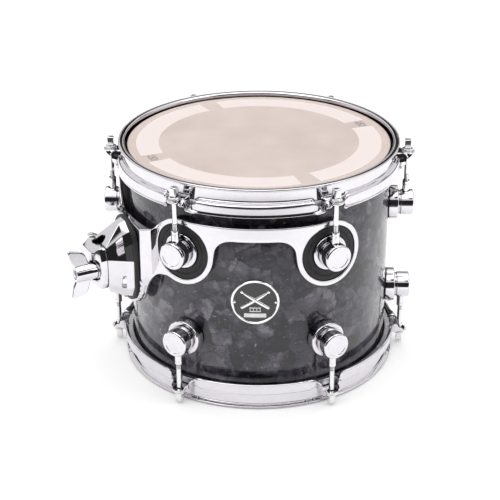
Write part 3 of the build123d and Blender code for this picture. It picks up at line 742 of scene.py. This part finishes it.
ROD = rod()
for i, phi in enumerate(STATIONS, 1):
    make("batter_rod_%d_steel" % i, Part().copy_of(ROD, phi), M_ROD, "batter_rod_%d" % i, ["batter_tension_rod_%d" % i], 30)
    make("resonant_rod_%d_steel" % i, Part().copy_of(ROD, phi, True), M_ROD, "resonant_rod_%d" % i, ["resonant_tension_rod_%d" % i], 30)

cx, cy, _ = at(0, ROD_R, 0, 0)
w = lathe_z(Part(), soften([(2.7, TAB_TOP + 0.02), (5.6, TAB_TOP + 0.02), (5.6, TAB_TOP + 1.2), (2.7, TAB_TOP + 1.2)], [0.15, 0.3, 0.35, 0.2], 3, True), cx, cy, 56, loop=True)
top, low = Part(), Part()
for phi in STATIONS:
    top.copy_of(w, phi)
    low.copy_of(w, phi, True)
make("batter_washers_steel", top, M_WASHER, "batter_hoop", ["batter_rod_washers"])
make("resonant_washers_steel", low, M_WASHER, "resonant_hoop", ["resonant_rod_washers"])

z = LUG_Z
nut = Part()
lathe_z(nut, soften([(2.5, z - 7.7), (3.45, z - 7.7), (3.6, z - 7.2), (3.6, z + 19.6), (3.35, z + 19.9), (3.35, z + 20.4), (3.6, z + 20.7), (3.6, z + 23.4), (3.0, z + 23.4), (2.55, z + 22.2), (2.5, z + 14)],
                    [0, 0.2, 0, 0.1, 0.1, 0.1, 0.1, 0.4, 0.2, 0.2, 0], 3), cx, cy, 40)
top, low = Part(), Part()
for phi in STATIONS:
    top.copy_of(nut, phi)
    low.copy_of(nut, phi, True, LOW_DZ)
make("upper_nuts_plated", top, M_NUT, "drum", ["upper_tube_nuts"])
make("lower_nuts_plated", low, M_NUT, "drum", ["lower_tube_nuts"])


# ---- lugs --------------------------------------------------------------------------------------
def lug_base():
    p = Part()
    front = soften([(129.3, 16.9), (135.6, 16.9), (135.6, 12.0), (137.85, 12.0), (137.85, 0.0)],
                   [0, 1.3, 0.3, 0.0, 0], 4)
    n = 72

    def saddle(r):
        return [at(0, math.sqrt(127.3 ** 2 - (r * math.cos(TAU * j / n)) ** 2), r * math.cos(TAU * j / n), LUG_Z + r * math.sin(TAU * j / n)) for j in range(n)]

    rows = [saddle(0.01), saddle(8.0), saddle(16.5)]
    rows.append([at(0, math.sqrt(127.3 ** 2 - (16.9 * math.cos(TAU * j / n)) ** 2) + 0.35, 16.9 * math.cos(TAU * j / n), LUG_Z + 16.9 * math.sin(TAU * j / n)) for j in range(n)])
    for x, r in front:
        rows.append([at(0, x, r * math.cos(TAU * j / n), LUG_Z + r * math.sin(TAU * j / n)) for j in range(n)])
    return p.rows(rows)


def lug_turret():
    prof = soften([(137.86, 0), (137.86, 12.3), (138.4, 12.8), (150.5, 12.8), (150.5, 9.4), (150.1, 9.0), (150.05, 8.6)], [0, 0.3, 0.3, 2.4, 0.4, 0.3, 0], 6)
    prof += [(150.12, 7.0), (150.2, 5.0), (150.27, 2.6), (150.3, 0.0)]
    p = lathe_x(Part(), prof, 0, 0, LUG_Z, 72)
    c = lathe_z(Part(), [(0, LUG_Z - 8.2), (3.68, LUG_Z - 8.2), (3.68, LUG_Z + 11.4), (4.3, LUG_Z + 12.3), (5.6, LUG_Z + 15), (0, LUG_Z + 15)], cx, cy, 40)
    return carve(p, [c])


BASE, TURRET = lug_base(), lug_turret()
for side, flip in (("upper", False), ("lower", True)):
    a, b = Part(), Part()
    for phi in STATIONS:
        a.copy_of(BASE, phi, flip, LOW_DZ if flip else 0.0)
        b.copy_of(TURRET, phi, flip, LOW_DZ if flip else 0.0)
    make(side + "_bases_cast", a, M_LUG, "drum", [side + "_lug_bases"], 38)
    make(side + "_turrets_cast", b, M_LUG, "drum", [side + "_lug_turrets"], 30)

# ---- rubber isolators ------------------------------------------------------------------------
ring = soften([(0.0, 0.0), (17.1, 0.0), (17.1, 0.9), (17.1, 7.1), (17.8, 7.7), (20.9, 7.7), (21.4, 7.1), (22.2, 7.1), (22.7, 7.7), (26.8, 7.7), (27.32, 7.0), (27.32, 6.38), (30.4, 6.38), (30.4, 0.0), (17.1, 0.0)],
              [0, 0, 0, 0.35, 0.3, 0.3, 0.2, 0.2, 0.3, 0.35, 0.2, 0, 0.4, 0.1, 0], 3)[1:]
p = Part()
for phi in ISOLATED:
    prof = []
    for rho, h in ring:
        k = max(0.0, min(1.0, (rho - 17.1) / 7.0))
        prof.append((rho, h, LUG_Z + (LOBE_Z - LUG_Z) * (0.0 if k <= 0 else k)))
    wrapped(p, prof, phi, 126.56, 96)
make("isolators_moulded", p, M_ISO, "drum", ["rubber_isolators"], 34)


# ---- suspension plate ------------------------------------------------------------------------
def unroll(y):
    return 135.5 * math.asin(y / 134.25)


def station_s(phi):
    return 135.5 * math.radians(phi - BRACKET)


def densify(poly, step=1.5):
    out = []
    for i, a in enumerate(poly):
        b = poly[(i + 1) % len(poly)]
        n = max(1, int(math.hypot(b[0] - a[0], b[1] - a[1]) / step))
        out += [(a[0] + (b[0] - a[0]) * k / n, a[1] + (b[1] - a[1]) * k / n) for k in range(n)]
    return out


def flat_shape(poly, phi):
    return [(station_s(phi) + unroll(y), z) for y, z in poly]


def circle(r, zc, n):
    return [(r * math.cos(TAU * j / n), zc + r * math.sin(TAU * j / n)) for j in range(n)]


def triangulate(loops, points=()):
    """Triangles over the loops, each triangle with the set of loops that hold it."""
    verts, faces = [], []
    for lp in loops:
        turn = sum(lp[i - 1][0] * lp[i][1] - lp[i][0] * lp[i - 1][1] for i in range(len(lp)))
        order = list(range(len(verts), len(verts) + len(lp)))
        faces.append(order if turn > 0 else order[::-1])
        verts += [Vector(q) for q in lp]
    verts += [Vector(q) for q in points]
    v, _, f, _, _, src = delaunay_2d_cdt(verts, [], faces, 1, 1e-5)
    return [(q.x, q.y) for q in v], [(tuple(t), set(s)) for t, s in zip(f, src)]


def outlines(tris):
    """Closed boundary loops of a set of triangles."""
    edges = {}
    for t in tris:
        for a, b in zip(t, t[1:] + t[:1]):
            edges[(a, b)] = edges.get((a, b), 0) + 1
    nxt = {}
    for a, b in edges:
        if (b, a) not in edges:
            nxt.setdefault(a, []).append(b)
    loops = []
    while nxt:
        start = next(iter(nxt))
        loop, cur = [start], start
        while True:
            b = nxt[cur].pop()
            if not nxt[cur]:
                del nxt[cur]
            if b == start:
                break
            loop.append(b)
            cur = b
        loops.append(loop)
    return loops


def even(loop, step, passes):
    """The loop at even steps, its corners eased."""
    pts = [Vector(q) for q in loop]
    n = len(pts)
    lens = [(pts[(i + 1) % n] - pts[i]).length for i in range(n)]
    total = sum(lens)
    m = max(12, round(total / step))
    out, i, acc = [], 0, 0.0
    for k in range(m):
        want = total * k / m
        while acc + lens[i] < want and i < n - 1:
            acc += lens[i]
            i += 1
        t = (want - acc) / max(lens[i], 1e-9)
        out.append(pts[i].lerp(pts[(i + 1) % n], min(1.0, max(0.0, t))))
    for _ in range(passes):
        out = [out[i] * 0.5 + (out[i - 1] + out[(i + 1) % m]) * 0.25 for i in range(m)]
    return out


def inset(loop, d):
    """Moved sideways by d, into the material on the left of the loop."""
    n = len(loop)
    out = []
    for i in range(n):
        t = (loop[(i + 1) % n] - loop[i - 1]).normalized()
        out.append(loop[i] + Vector((-t.y, t.x)) * d)
    return out


FOOT = [(79.0, 0.0), (80.0, 6.5), (83.0, 12.8), (88.2, 18.2), (94.5, 21.6), (101.3, 23.8), (108.0, 27.0), (113.5, 31.0), (121.6, 34.0), (400, 34.0)]
SEAT = [(79.8, 0.0), (80.9, 6.0), (83.8, 12.2), (88.7, 17.4), (94.5, 20.7), (101.3, 22.8), (108.0, 24.8), (113.5, 26.2), (121.6, 27.0), (400, 27.0)]


def table_at(tab, z):
    if z <= tab[0][0]:
        return tab[0][1]
    for (z0, y0), (z1, y1) in zip(tab, tab[1:]):
        if z <= z1:
            return y0 + (y1 - y0) * (z - z0) / (z1 - z0)
    return tab[-1][1]


def plate_radius(s, z):
    """Front of the suspension plate: the flat boss where the bracket sits, eased down to the curved skin."""
    a = abs(s) / 135.5
    if a > 0.33:
        return 135.5
    seat, foot = table_at(SEAT, z), table_at(FOOT, z)
    gap = max(foot - seat, 1.2)
    x = 139.5
    for _ in range(6):
        y = x * math.tan(a)
        skin = math.sqrt(135.5 ** 2 - min(y, 132) ** 2)
        t, w = (y - seat) / gap, 1.3 / gap
        drop = 0.0 if t < -w else ((t + w) ** 2 / (4 * w) if t < w else t)
        boss = 139.5 - 8.9 * drop
        k = 0.7
        h = max(k - abs(boss - skin), 0.0) / k
        x = max(boss, skin) + h * h * k * 0.25
    return x / math.cos(a)


def plate():
    bridge = densify([(-66, 154), (66, 154), (66, 185.4), (-66, 185.4)], 3)
    window = [(y, z) for y, z in rrect(73.8, 144.4, 15.5, 0, 100.0, 14, 20)]
    half = [(0, 164.6), (27, 164.6), (33, 165.6), (37.5, 168.4), (42.5, 174.0), (52, 178.0), (60, 150.0), (54, 126.0), (47, 124.9), (41.5, 123.4),
            (36.5, 119.6), (31.0, 113.5), (27.0, 108.0), (23.8, 101.3), (21.6, 94.5), (18.2, 88.2), (12.8, 83.0), (6.5, 80.0), (0, 79.0)]
    centre = densify(half + [(-y, z) for y, z in reversed(half[1:-1])], 2)
    loops, kinds = [], []
    for phi in ISOLATED:
        loops.append(flat_shape(circle(LOBE_R, LOBE_Z, 132), phi))
        kinds.append("lobe")
        loops.append(flat_shape(circle(LOBE_HOLE, LOBE_Z, 120), phi))
        kinds.append("hole")
    for phi in (0, -120):
        loops.append(flat_shape(bridge, phi))
        kinds.append("bridge%d" % phi)
        loops.append(flat_shape(window, phi))
        kinds.append("window%d" % phi)
    loops.append(flat_shape(centre, BRACKET))
    kinds.append("centre")
    verts, tris = triangulate(loops)
    kept = []
    for t, src in tris:
        k = {kinds[i] for i in src}
        inside = "lobe" in k or "centre" in k or any("bridge%d" % p in k and "window%d" % p not in k for p in (0, -120))
        if inside and "hole" not in k:
            a, b, c = (verts[i] for i in t)
            if (b[0] - a[0]) * (c[1] - a[1]) - (b[1] - a[1]) * (c[0] - a[0]) < 0:
                t = tuple(reversed(t))
            kept.append(t)
    rings = []
    for lp in outlines(kept):
        pts = [verts[i] for i in lp]
        area = sum(pts[i - 1][0] * pts[i][1] - pts[i][0] * pts[i - 1][1] for i in range(len(pts))) / 2
        if abs(area) > 4:
            rings.append((area, even(pts, 1.05, 10)))
    out = Part()
    bev = 0.85

    def put(q, r):
        return at(BRACKET + math.degrees(q[0] / 135.5), r, 0, q[1])

    inner, backs = [], []
    for area, lp in rings:
        rows = []
        back_in = inset(lp, 0.35)
        rows.append([put(q, 133.0) for q in back_in])
        rows.append([put(q, 133.1) for q in inset(lp, 0.1)])
        rows.append([put(q, 133.35) for q in lp])
        low_row = [max(133.4, plate_radius(*q) - bev) for q in lp]
        tall = max(low_row) - 133.4
        for k in range(1, 4 if tall > 2.5 else 1):
            rows.append([put(q, 133.35 + (lr - 133.35) * k / 4) for q, lr in zip(lp, low_row)])
        for k in range(0, 6):
            a = math.radians(18 * k)
            cur = inset(lp, bev * (1 - math.cos(a)))
            rows.append([put(q, max(133.4, plate_radius(*q) - bev * (1 - math.sin(a)))) for q in cur])
        out.rows(rows)
        inner.append((area, cur))
        backs.append((area, back_in))
    for sheet, front in ((inner, True), (backs, False)):
        loops = [[tuple(q) for q in lp] for _, lp in sheet]
        total = sum(len(lp) for lp in loops)
        tree = KDTree(total)
        k = 0
        for lp in loops:
            for q in lp:
                tree.insert((q[0], q[1], 0), k)
                k += 1
        tree.balance()
        pts = []
        cols = []
        s = -252.0
        while s < 252:
            cols.append(s)
            s += 0.75 if front and 23 < abs(s) < 39 else (2.0 if front else 6.0)
        for s in cols:
            z = 76.0
            while z < 188:
                if tree.find((s, z, 0))[2] > 1.0:
                    pts.append((s, z))
                z += 2.5 if front else 8.0
        verts, tris = triangulate(loops, pts)
        outer = {i for i, (area, _) in enumerate(sheet) if area > 0}
        faces = [t for t, src in tris if (src & outer) and not (src - outer)]
        out.add([put(q, plate_radius(*q) if front else 133.0) for q in verts], faces)
    return out


make("suspension_plate_polished", plate(), M_PLATE, "drum", ["mount_plate"], 34)

# ---- badge -----------------------------------------------------------------------------------------
p = Part()
wrapped(p, [(r, h, BADGE_Z) for r, h in soften([(19.9, 0.05), (22.2, 0.05), (22.2, 1.3), (21.7, 1.78), (20.5, 1.78), (20.0, 1.3)], [0, 0.1, 0.3, 0.3, 0.3, 0.1], 3, True)], 0, 126.53, 128, loop=True)
make("badge_rim_polished", p, M_BADGE, "drum", ["badge_plate"])
p = wrapped(Part(), [(r, h, BADGE_Z) for r, h in [(20.5, 0.0), (20.5, 1.0), (19.5, 1.03), (16, 1.08), (12, 1.13), (8, 1.16), (4, 1.18), (0, 1.18)]], 0, 126.53, 128)
make("badge_face_enamel", p, M_FACE, "drum")


def on_badge(y, z, h):
    return at(0, math.sqrt((126.53 + h) ** 2 - y * y), y, BADGE_Z + z)


def stick(part, turn, lift, y0=0.0, z0=2.2):
    prof = [(-15.6, 0.05), (-15.4, 0.55), (-15.0, 0.85), (-14.2, 0.98), (-6, 1.02), (2, 1.0), (7, 0.92), (10.5, 0.72), (12.6, 0.45), (13.2, 0.42), (13.6, 0.62), (14.1, 0.86), (14.7, 0.93), (15.3, 0.84), (15.8, 0.55), (16.0, 0.08)]
    c, s = math.cos(turn), math.sin(turn)
    rows = []
    for u, hw in prof:
        hw *= 1.55
        row = []
        for k in range(9):
            a = math.pi * k / 8
            v, h = hw * math.cos(a), 1.05 + lift + 0.42 * hw * math.sin(a)
            if k in (0, 8):
                h = 1.0
            row.append(on_badge(y0 + u * c - v * s, z0 + u * s + v * c, h))
        rows.append(row)
    part.rows(rows, wrap=False)


p = Part()
stick(p, math.radians(33), 0.0)
stick(p, math.radians(147), 0.22)
# a small drum seen from the side, under the sticks
for zz, hw, hh in ((-5.6, 5.2, 0.55), (-9.2, 5.2, 0.55)):
    rows = []
    for k in range(13):
        y = -hw + 2 * hw * k / 12
        rows.append([on_badge(y, zz - hh, 1.0), on_badge(y, zz - hh * 0.7, 1.3), on_badge(y, zz, 1.4), on_badge(y, zz + hh * 0.7, 1.3), on_badge(y, zz + hh, 1.0)])
    p.rows(rows, wrap=False)
for y in (-4.6, -1.55, 1.55, 4.6):
    rows = []
    for k in range(5):
        zz = -8.7 + 2.6 * k / 4
        rows.append([on_badge(y - 0.28, zz, 1.0), on_badge(y - 0.2, zz, 1.25), on_badge(y + 0.2, zz, 1.25), on_badge(y + 0.28, zz, 1.0)])
    p.rows(rows, wrap=False)
make("badge_sticks_relief", p, M_BADGE, "drum", (), 50)
rows = []
for inset_mm, h in ((0.0, 0.95), (0.0, 1.25), (0.12, 1.33), (0.4, 1.36)):
    rows.append([on_badge(y, z, h) for y, z in rrect(20.4 - 2 * inset_mm, 4.1 - 2 * inset_mm, 0.5, 0, -13.3, 3, 8)])
p = Part().rows(rows)
# the label follows the badge's curve, so it is closed in strips
flat = [rrect(19.6, 3.3, 0.1, 0, -13.3, 3, 8)]
strip = [[on_badge(-9.8 + 19.6 * k / 12, -13.3 - 1.65, 1.36), on_badge(-9.8 + 19.6 * k / 12, -13.3 + 1.65, 1.36)] for k in range(13)]
p.rows(strip, wrap=False)
make("badge_label_blank", p, M_LABEL, "drum", (), 40)
p = Part()
for s in (-1, 1):
    lathe_x(p, soften([(125.2, 0.0), (125.2, 1.5), (127.0, 1.5), (127.35, 0.9), (127.42, 0.0)], [0, 0, 0.3, 0.4, 0], 3), 0, s * 19.0, BADGE_Z, 24)
make("badge_pins_domed", p, M_PIN, "drum", ["badge_pins"])

# ---- vent eyelet --------------------------------------------------------------------------------------
p = lathe_x(Part(), soften([(119.0, 4.2), (119.0, 6.0), (126.6, 6.0), (126.4, 9.0), (127.2, 9.0), (127.7, 7.6), (127.7, 5.6), (126.9, 4.2)],
                           [0.3, 0.3, 0.1, 0.2, 0.5, 0.6, 0.8, 0.9], 4, True), 180, 0, HT / 2, 72, loop=True)
make("vent_eyelet_rolled", p, M_VENT, "drum", ["vent_grommet"], 40)

# ---- clamp bracket -----------------------------------------------------------------------------------------
p = stack(Part(), [(139.55, 49, 83.6, 22.5, 0.3, 126.4), (143.9, 49, 83.6, 22.5, 0.3, 126.4)], BRACKET, 1.3)
make("bracket_pad_moulded", p, M_PAD, "drum", ["bracket_gasket"], 40)


def tall(r, x, y, z0, z1, n=40):
    q = at(BRACKET, x, y, 0)
    return lathe_z(Part(), [(0, z0), (r, z0), (r, z1), (0, z1)], q[0], q[1], n)


def across(r, x0, x1, y, z, n=48):
    return lathe_x(Part(), [(x0, 0), (x0, r), (x1, r), (x1, 0)], BRACKET, y, z, n)


Z0, Z1 = CLAMP_Z - CLAMP_H / 2, CLAMP_Z + CLAMP_H / 2
K0, K1 = Z0 + 10.0, Z1 - 10.0


def knuckle(part, z0, z1):
    q = at(BRACKET, ARM_D, HINGE_Y, 0)
    return lathe_z(part, soften([(0, z0), (4.0, z0), (4.0, z1), (0, z1)], [0, 0.5, 0.5, 0], 3), q[0], q[1], 40)


BASE_SEC = [(6.0, 87.6), (16.0, 92.5), (22.0, 103.5), (22.9, 131.0), (19.8, 148.0), (14.5, 158.5), (5.0, 166.2)]
RIDGE_SEC = [(4.5, 89.5), (12.5, 93.5), (17.8, 101.5), (18.8, 131.0), (15.0, 144.0), (11.8, 154.5), (4.5, 164.0)]
CLAMP_SEC = [(14.5, -20.5), (16.2, -18.0), (18.0, -14.5), (18.0, 9.0), (16.2, 15.0), (14.8, 18.8), (14.0, 20.5)]
NOSE_SEC = [(9.5, -15.0), (10.6, -13.6), (11.5, -11.5), (11.5, 8.0), (10.6, 12.0), (9.8, 14.2), (9.0, 15.0)]
CLAMP_Y = 2.5


def facets(x, right, y0, z0, left=None):
    pts = [(y0 + y, z0 + z) for y, z in right] + [(y0 - y, z0 + z) for y, z in reversed(left or right)]
    return [at(BRACKET, x, y, z) for y, z in pts]


def faceted(secs, round_mm=0.5):
    """A ruled loft through the sections with its edges rounded over."""
    n = len(secs[0])
    p = Part().rows(secs)
    p.add(secs[0], [tuple(range(n))[::-1]])
    p.add(secs[-1], [tuple(range(n))])
    me = mesh_of(p, "faceted")
    bm = bmesh.new()
    bm.from_mesh(me)
    edges = [e for e in bm.edges if len(e.link_faces) == 2 and e.calc_face_angle(0.0) > math.radians(7)]
    bmesh.ops.bevel(bm, geom=edges, offset=round_mm / 1000.0, offset_type="OFFSET", segments=3, profile=0.5, affect="EDGES", clamp_overlap=True)
    out = Part()
    bm.verts.index_update()
    out.v = [(v.co.x * 1000, v.co.y * 1000, v.co.z * 1000) for v in bm.verts]
    out.f = [tuple(v.index for v in f.verts) for f in bm.faces]
    out.m = [0] * len(out.f)
    bm.free()
    bpy.data.meshes.remove(me)
    return out


body = faceted([facets(143.95, BASE_SEC, 0, 0), facets(150.0, RIDGE_SEC, 0, 0), facets(ARM_D - 0.2, CLAMP_SEC, CLAMP_Y, CLAMP_Z)])
body = carve(body, [tall(4.4, ARM_D, HINGE_Y, K0, K1), tall(ARM_R, ARM_D, 0, 80, 180, 64), across(3.22, 155, 190, NUT_Y, NUT_Z)])
for a, b in ((Z0, K0), (K1, Z1)):
    knuckle(body, a, b)
    stack(body, [(ARM_D - 5.0, 4.4, b - a - 0.2, 0.5, HINGE_Y + 2.2, (a + b) / 2), (ARM_D - 1.2, 4.4, b - a - 0.2, 0.5, HINGE_Y + 2.2, (a + b) / 2)], BRACKET, 0.3)
make("bracket_body_cast", body, M_BRACKET, "drum", ["bracket_body"], 28)

jaw = faceted([facets(ARM_D + 0.2, CLAMP_SEC, CLAMP_Y, CLAMP_Z), facets(ARM_D + 6.2, CLAMP_SEC, CLAMP_Y, CLAMP_Z),
               facets(ARM_D + 12.0, NOSE_SEC, CLAMP_Y - 3.5, CLAMP_Z, [(y + 2.0, z) for y, z in NOSE_SEC])])
jaw = carve(jaw, [tall(4.4, ARM_D, HINGE_Y, 80, K0 + 0.2), tall(4.4, ARM_D, HINGE_Y, K1 - 0.2, 180), tall(ARM_R, ARM_D, 0, 80, 180, 64),
                  across(9.9, ARM_D + 7.5, 200, NUT_Y, NUT_Z, 72), across(4.7, 160, 200, NUT_Y, NUT_Z)])
knuckle(jaw, K0 + 0.3, K1 - 0.3)
make("clamp_jaw_cast", jaw, M_BRACKET, "clamp_jaw", ["clamp_jaw"], 28)
q = at(BRACKET, ARM_D, HINGE_Y, 0)
p = lathe_z(Part(), soften([(0, Z0 - 1.2), (2.0, Z0 - 1.2), (2.0, Z1 + 1.2), (0, Z1 + 1.2)], [0, 0.6, 0.6, 0], 3), q[0], q[1], 32)
make("hinge_pin_steel", p, M_SCREW, "drum", ["jaw_hinge_pin"])

p = Part()
lathe_x(p, [(155.3, 0), (155.3, 3.2), (176.0, 3.2), (176.0, 3.15)], BRACKET, NUT_Y, NUT_Z, 32)
thread(p, 0, 0, 3.2, 0.42, 1.25, 176.0, 198.9, 32, 6, lambda u, w, x: at(BRACKET, x, NUT_Y + u, NUT_Z + w))
lathe_x(p, [(198.9, 3.1), (199.3, 2.7), (199.6, 2.1), (199.6, 0)], BRACKET, NUT_Y, NUT_Z, 32)
make("clamp_bolt_threaded", p, M_SCREW, "drum", ["clamp_bolt"])
p = lathe_x(Part(), soften([(176.56, 3.35), (176.56, 8.5), (178.1, 8.5), (178.1, 3.35)], [0.2, 0.3, 0.4, 0.2], 3, True), BRACKET, NUT_Y, NUT_Z, 56, loop=True)
make("nut_washer_steel", p, M_WASHER, "nut_washer", ["wing_nut_washer"])


def wing_nut():
    p = Part()
    lathe_x(p, soften([(178.15, 3.3), (178.15, 7.75), (184.0, 7.75), (190, 7.6), (198.6, 7.3), (198.6, 5.2), (197.6, 4.6), (197.6, 3.3)], [0, 0.6, 0, 0, 1.0, 0.5, 0.4, 0.3], 4, True), 0, 0, 0, 64, loop=True)
    blades = []
    for s in (1, -1):
        edge = soften([(182.5, 4.0), (185.6, 12.0), (187.6, 18.2), (191.5, 20.8), (202.0, 23.4), (204.0, 21.8), (201.8, 12), (197.6, 4.0)], [0, 4, 3, 3, 1.5, 1.5, 6, 0], 6, False)
        edge = [(a, s * b) for a, b in edge]
        rows = []
        cx_, cz_ = sum(a for a, _ in edge) / len(edge), sum(b for _, b in edge) / len(edge)
        for yy, k in ((-1.9, 0.9), (-1.75, 0.955), (-1.3, 0.99), (0, 1.0), (1.3, 0.99), (1.75, 0.955), (1.9, 0.9)):
            rows.append([at(0, cx_ + (a - cx_) * k, yy * (1.25 - 0.018 * abs(b)), cz_ + (b - cz_) * k) for a, b in edge])
        bl = Part().rows(rows)
        bl.cap(rows[0])
        bl.cap(rows[-1])
        blades.append(bl)
    both = carve(p, blades, "UNION")
    o = bpy.data.objects.new("remesh", mesh_of(both, "remesh"))
    scene.collection.objects.link(o)
    m = o.modifiers.new("r", "REMESH")
    m.mode, m.voxel_size = "VOXEL", 0.00036
    m = o.modifiers.new("s", "SMOOTH")
    m.factor, m.iterations = 0.5, 5
    bpy.context.view_layer.update()
    me = bpy.data.meshes.new_from_object(o.evaluated_get(bpy.context.evaluated_depsgraph_get()))
    verts = []
    t = math.radians(6.5)
    for v in me.vertices:
        # station 0: local x is -Y, local y is X
        x, y, z = -v.co.y * 1000, v.co.x * 1000, v.co.z * 1000
        verts.append(at(BRACKET, x, NUT_Y + y * math.cos(t) - z * math.sin(t), NUT_Z + y * math.sin(t) + z * math.cos(t)))
    out = Part()
    out.add(verts, [tuple(f.vertices) for f in me.polygons])
    bpy.data.objects.remove(o)
    return out


make("wing_nut_cast", wing_nut(), M_BRACKET, "wing_nut", ["wing_nut"], 60)

# ---- floor, light and camera -----------------------------------------------------------------------------------
fl = Part()
fl.rows([[(x * 1000, y * 1000, -0.6) for x in (-9, -3, -1, 0, 1, 3, 9)] for y in (-0.79, -0.6, -0.3, 0, 1, 3, 9)], wrap=False)
floor_mesh = mesh_of(fl, "floor")
g = Graph("floor_paper")
place = g.n("SeparateXYZ", {"Vector": g.n("TexCoord").outputs["Object"]})
fall = g.ramp(g.span(place.outputs[1], -0.76, -0.40, 0.0, 1.0, True), [(0.0, (0.66, 0.66, 0.66)), (1.0, (1.0, 1.0, 1.0))])
paper = g.n("BsdfDiffuse", {"Color": g.mix(1.0, fall, (0.78, 0.78, 0.78), "MULTIPLY"), "Roughness": 0.0}).outputs[0]
glow = g.n("Emission", {"Color": g.mix(1.0, fall, (0.34, 0.34, 0.34), "MULTIPLY"), "Strength": 1.0}).outputs[0]
g.surface(g.n("AddShader", {0: paper, 1: glow}).outputs[0])
floor_mesh.materials.append(g.mat)
floor = bpy.data.objects.new("floor", floor_mesh)
scene.collection.objects.link(floor)
if floor_mesh.polygons[0].normal.z < 0:
    floor_mesh.flip_normals()

world = bpy.data.worlds.new("studio")
scene.world = world
world.use_nodes = True
nt = world.node_tree
nt.nodes.clear()


def wn(kind, ins=None, **props):
    node = nt.nodes.new("ShaderNode" + kind)
    for k, v in props.items():
        setattr(node, k, v)
    for k, v in (ins or {}).items():
        if isinstance(v, bpy.types.NodeSocket):
            nt.links.new(v, node.inputs[k])
        else:
            node.inputs[k].default_value = v
    return node


def wm(op, a, b=0.0, clamp=False):
    return wn("Math", {0: a, 1: b}, operation=op, use_clamp=clamp).outputs[0]


def wspan(v, a, b, lo=0.0, hi=1.0):
    node = wn("MapRange", {"Value": v, "From Min": a, "From Max": b, "To Min": lo, "To Max": hi}, interpolation_type="SMOOTHSTEP")
    node.clamp = True
    return node.outputs["Result"]


d = wn("TexCoord").outputs["Generated"]
sx = wn("SeparateXYZ", {"Vector": d})
dx, dy, dz = sx.outputs
elev = wm("ARCSINE", dz)
azim = wm("ARCTAN2", dx, wm("MULTIPLY", dy, -1.0))   # 0 looks back towards the camera


def band(e0, e1, soft=0.03):
    a, b = math.radians(e0), math.radians(e1)
    return wm("MULTIPLY", wspan(elev, a - soft, a + soft), wspan(elev, b - soft, b + soft, 1.0, 0.0))


def wrap_angle(c):
    node = wn("Math", {0: wm("SUBTRACT", azim, math.radians(c)), 1: math.pi, 2: -math.pi}, operation="WRAP")
    return wm("ABSOLUTE", node.outputs[0])


def sector(c, half, soft=0.06):
    h = math.radians(half)
    return wspan(wrap_angle(c), h - soft, h + soft, 1.0, 0.0)


light = wspan(elev, math.radians(46), math.radians(60), 0.84, 1.95)
dark = wm("MULTIPLY", wspan(elev, math.radians(33), math.radians(38), 1.0, 0.0), sector(0, 72, 0.22))
dark = wm("MAXIMUM", dark, wm("MULTIPLY", band(31, 40), sector(-62, 34)))
dark = wm("MAXIMUM", dark, wm("MULTIPLY", band(44, 56), sector(52, 38)))
dark = wm("MAXIMUM", dark, wm("MULTIPLY", band(19, 31), sector(178, 12, 0.02)))
dark = wm("MAXIMUM", dark, wm("MULTIPLY", band(22, 30), sector(128, 7, 0.02)))
dark = wm("MAXIMUM", dark, wm("MULTIPLY", band(2, 13), sector(180, 75)))
level = wm("MULTIPLY", light, wm("SUBTRACT", 1.0, wm("MULTIPLY", dark, 0.975)))
below = 0.08
level = wn("Mix", {"Factor": wspan(elev, -0.012, 0.0), "A": below, "B": level}).outputs[0]
# the backdrop itself is plain white from every side; the dark parts only light the object
level = wn("Mix", {"Factor": wn("LightPath").outputs["Is Camera Ray"], "A": level, "B": 1.0}).outputs[0]
bg = wn("Background", {"Color": (1, 1, 1, 1), "Strength": level})
nt.links.new(bg.outputs[0], wn("OutputWorld").inputs["Surface"])


def area(name, loc, target, size, watts, colour=(1, 1, 1)):
    data = bpy.data.lights.new(name, "AREA")
    data.shape = "RECTANGLE"
    data.size, data.size_y = size
    data.energy = watts
    data.color = colour
    o = bpy.data.objects.new(name, data)
    o.location = loc
    o.rotation_mode = "QUATERNION"
    o.rotation_quaternion = (Vector(target) - Vector(loc)).to_track_quat("-Z", "Y")
    scene.collection.objects.link(o)
    return o


area("key", (-1.6, -1.5, 2.1), (0, 0, 0.1), (1.6, 1.6), 10)
area("fill", (1.9, -1.0, 1.6), (0, 0, 0.1), (1.2, 1.2), 7)
cam_data = bpy.data.cameras.new("camera")
cam_data.lens = 97.23
cam_data.sensor_width = 36.0
cam_data.shift_x, cam_data.shift_y = -0.0178, -0.0184
cam_data.clip_start, cam_data.clip_end = 0.05, 60.0
cam = bpy.data.objects.new("camera", cam_data)
a, e = math.radians(1.54), math.radians(25.07)
back = Vector((math.sin(a) * math.cos(e), -math.cos(a) * math.cos(e), math.sin(e)))
cam.location = Vector((0, 0, 0.1113)) + back * 1.3414
cam.rotation_mode = "QUATERNION"
cam.rotation_quaternion = (-back).to_track_quat("-Z", "Y")
scene.collection.objects.link(cam)
scene.camera = cam
scene.view_settings.view_transform = "Standard"
scene.view_settings.look = "None"
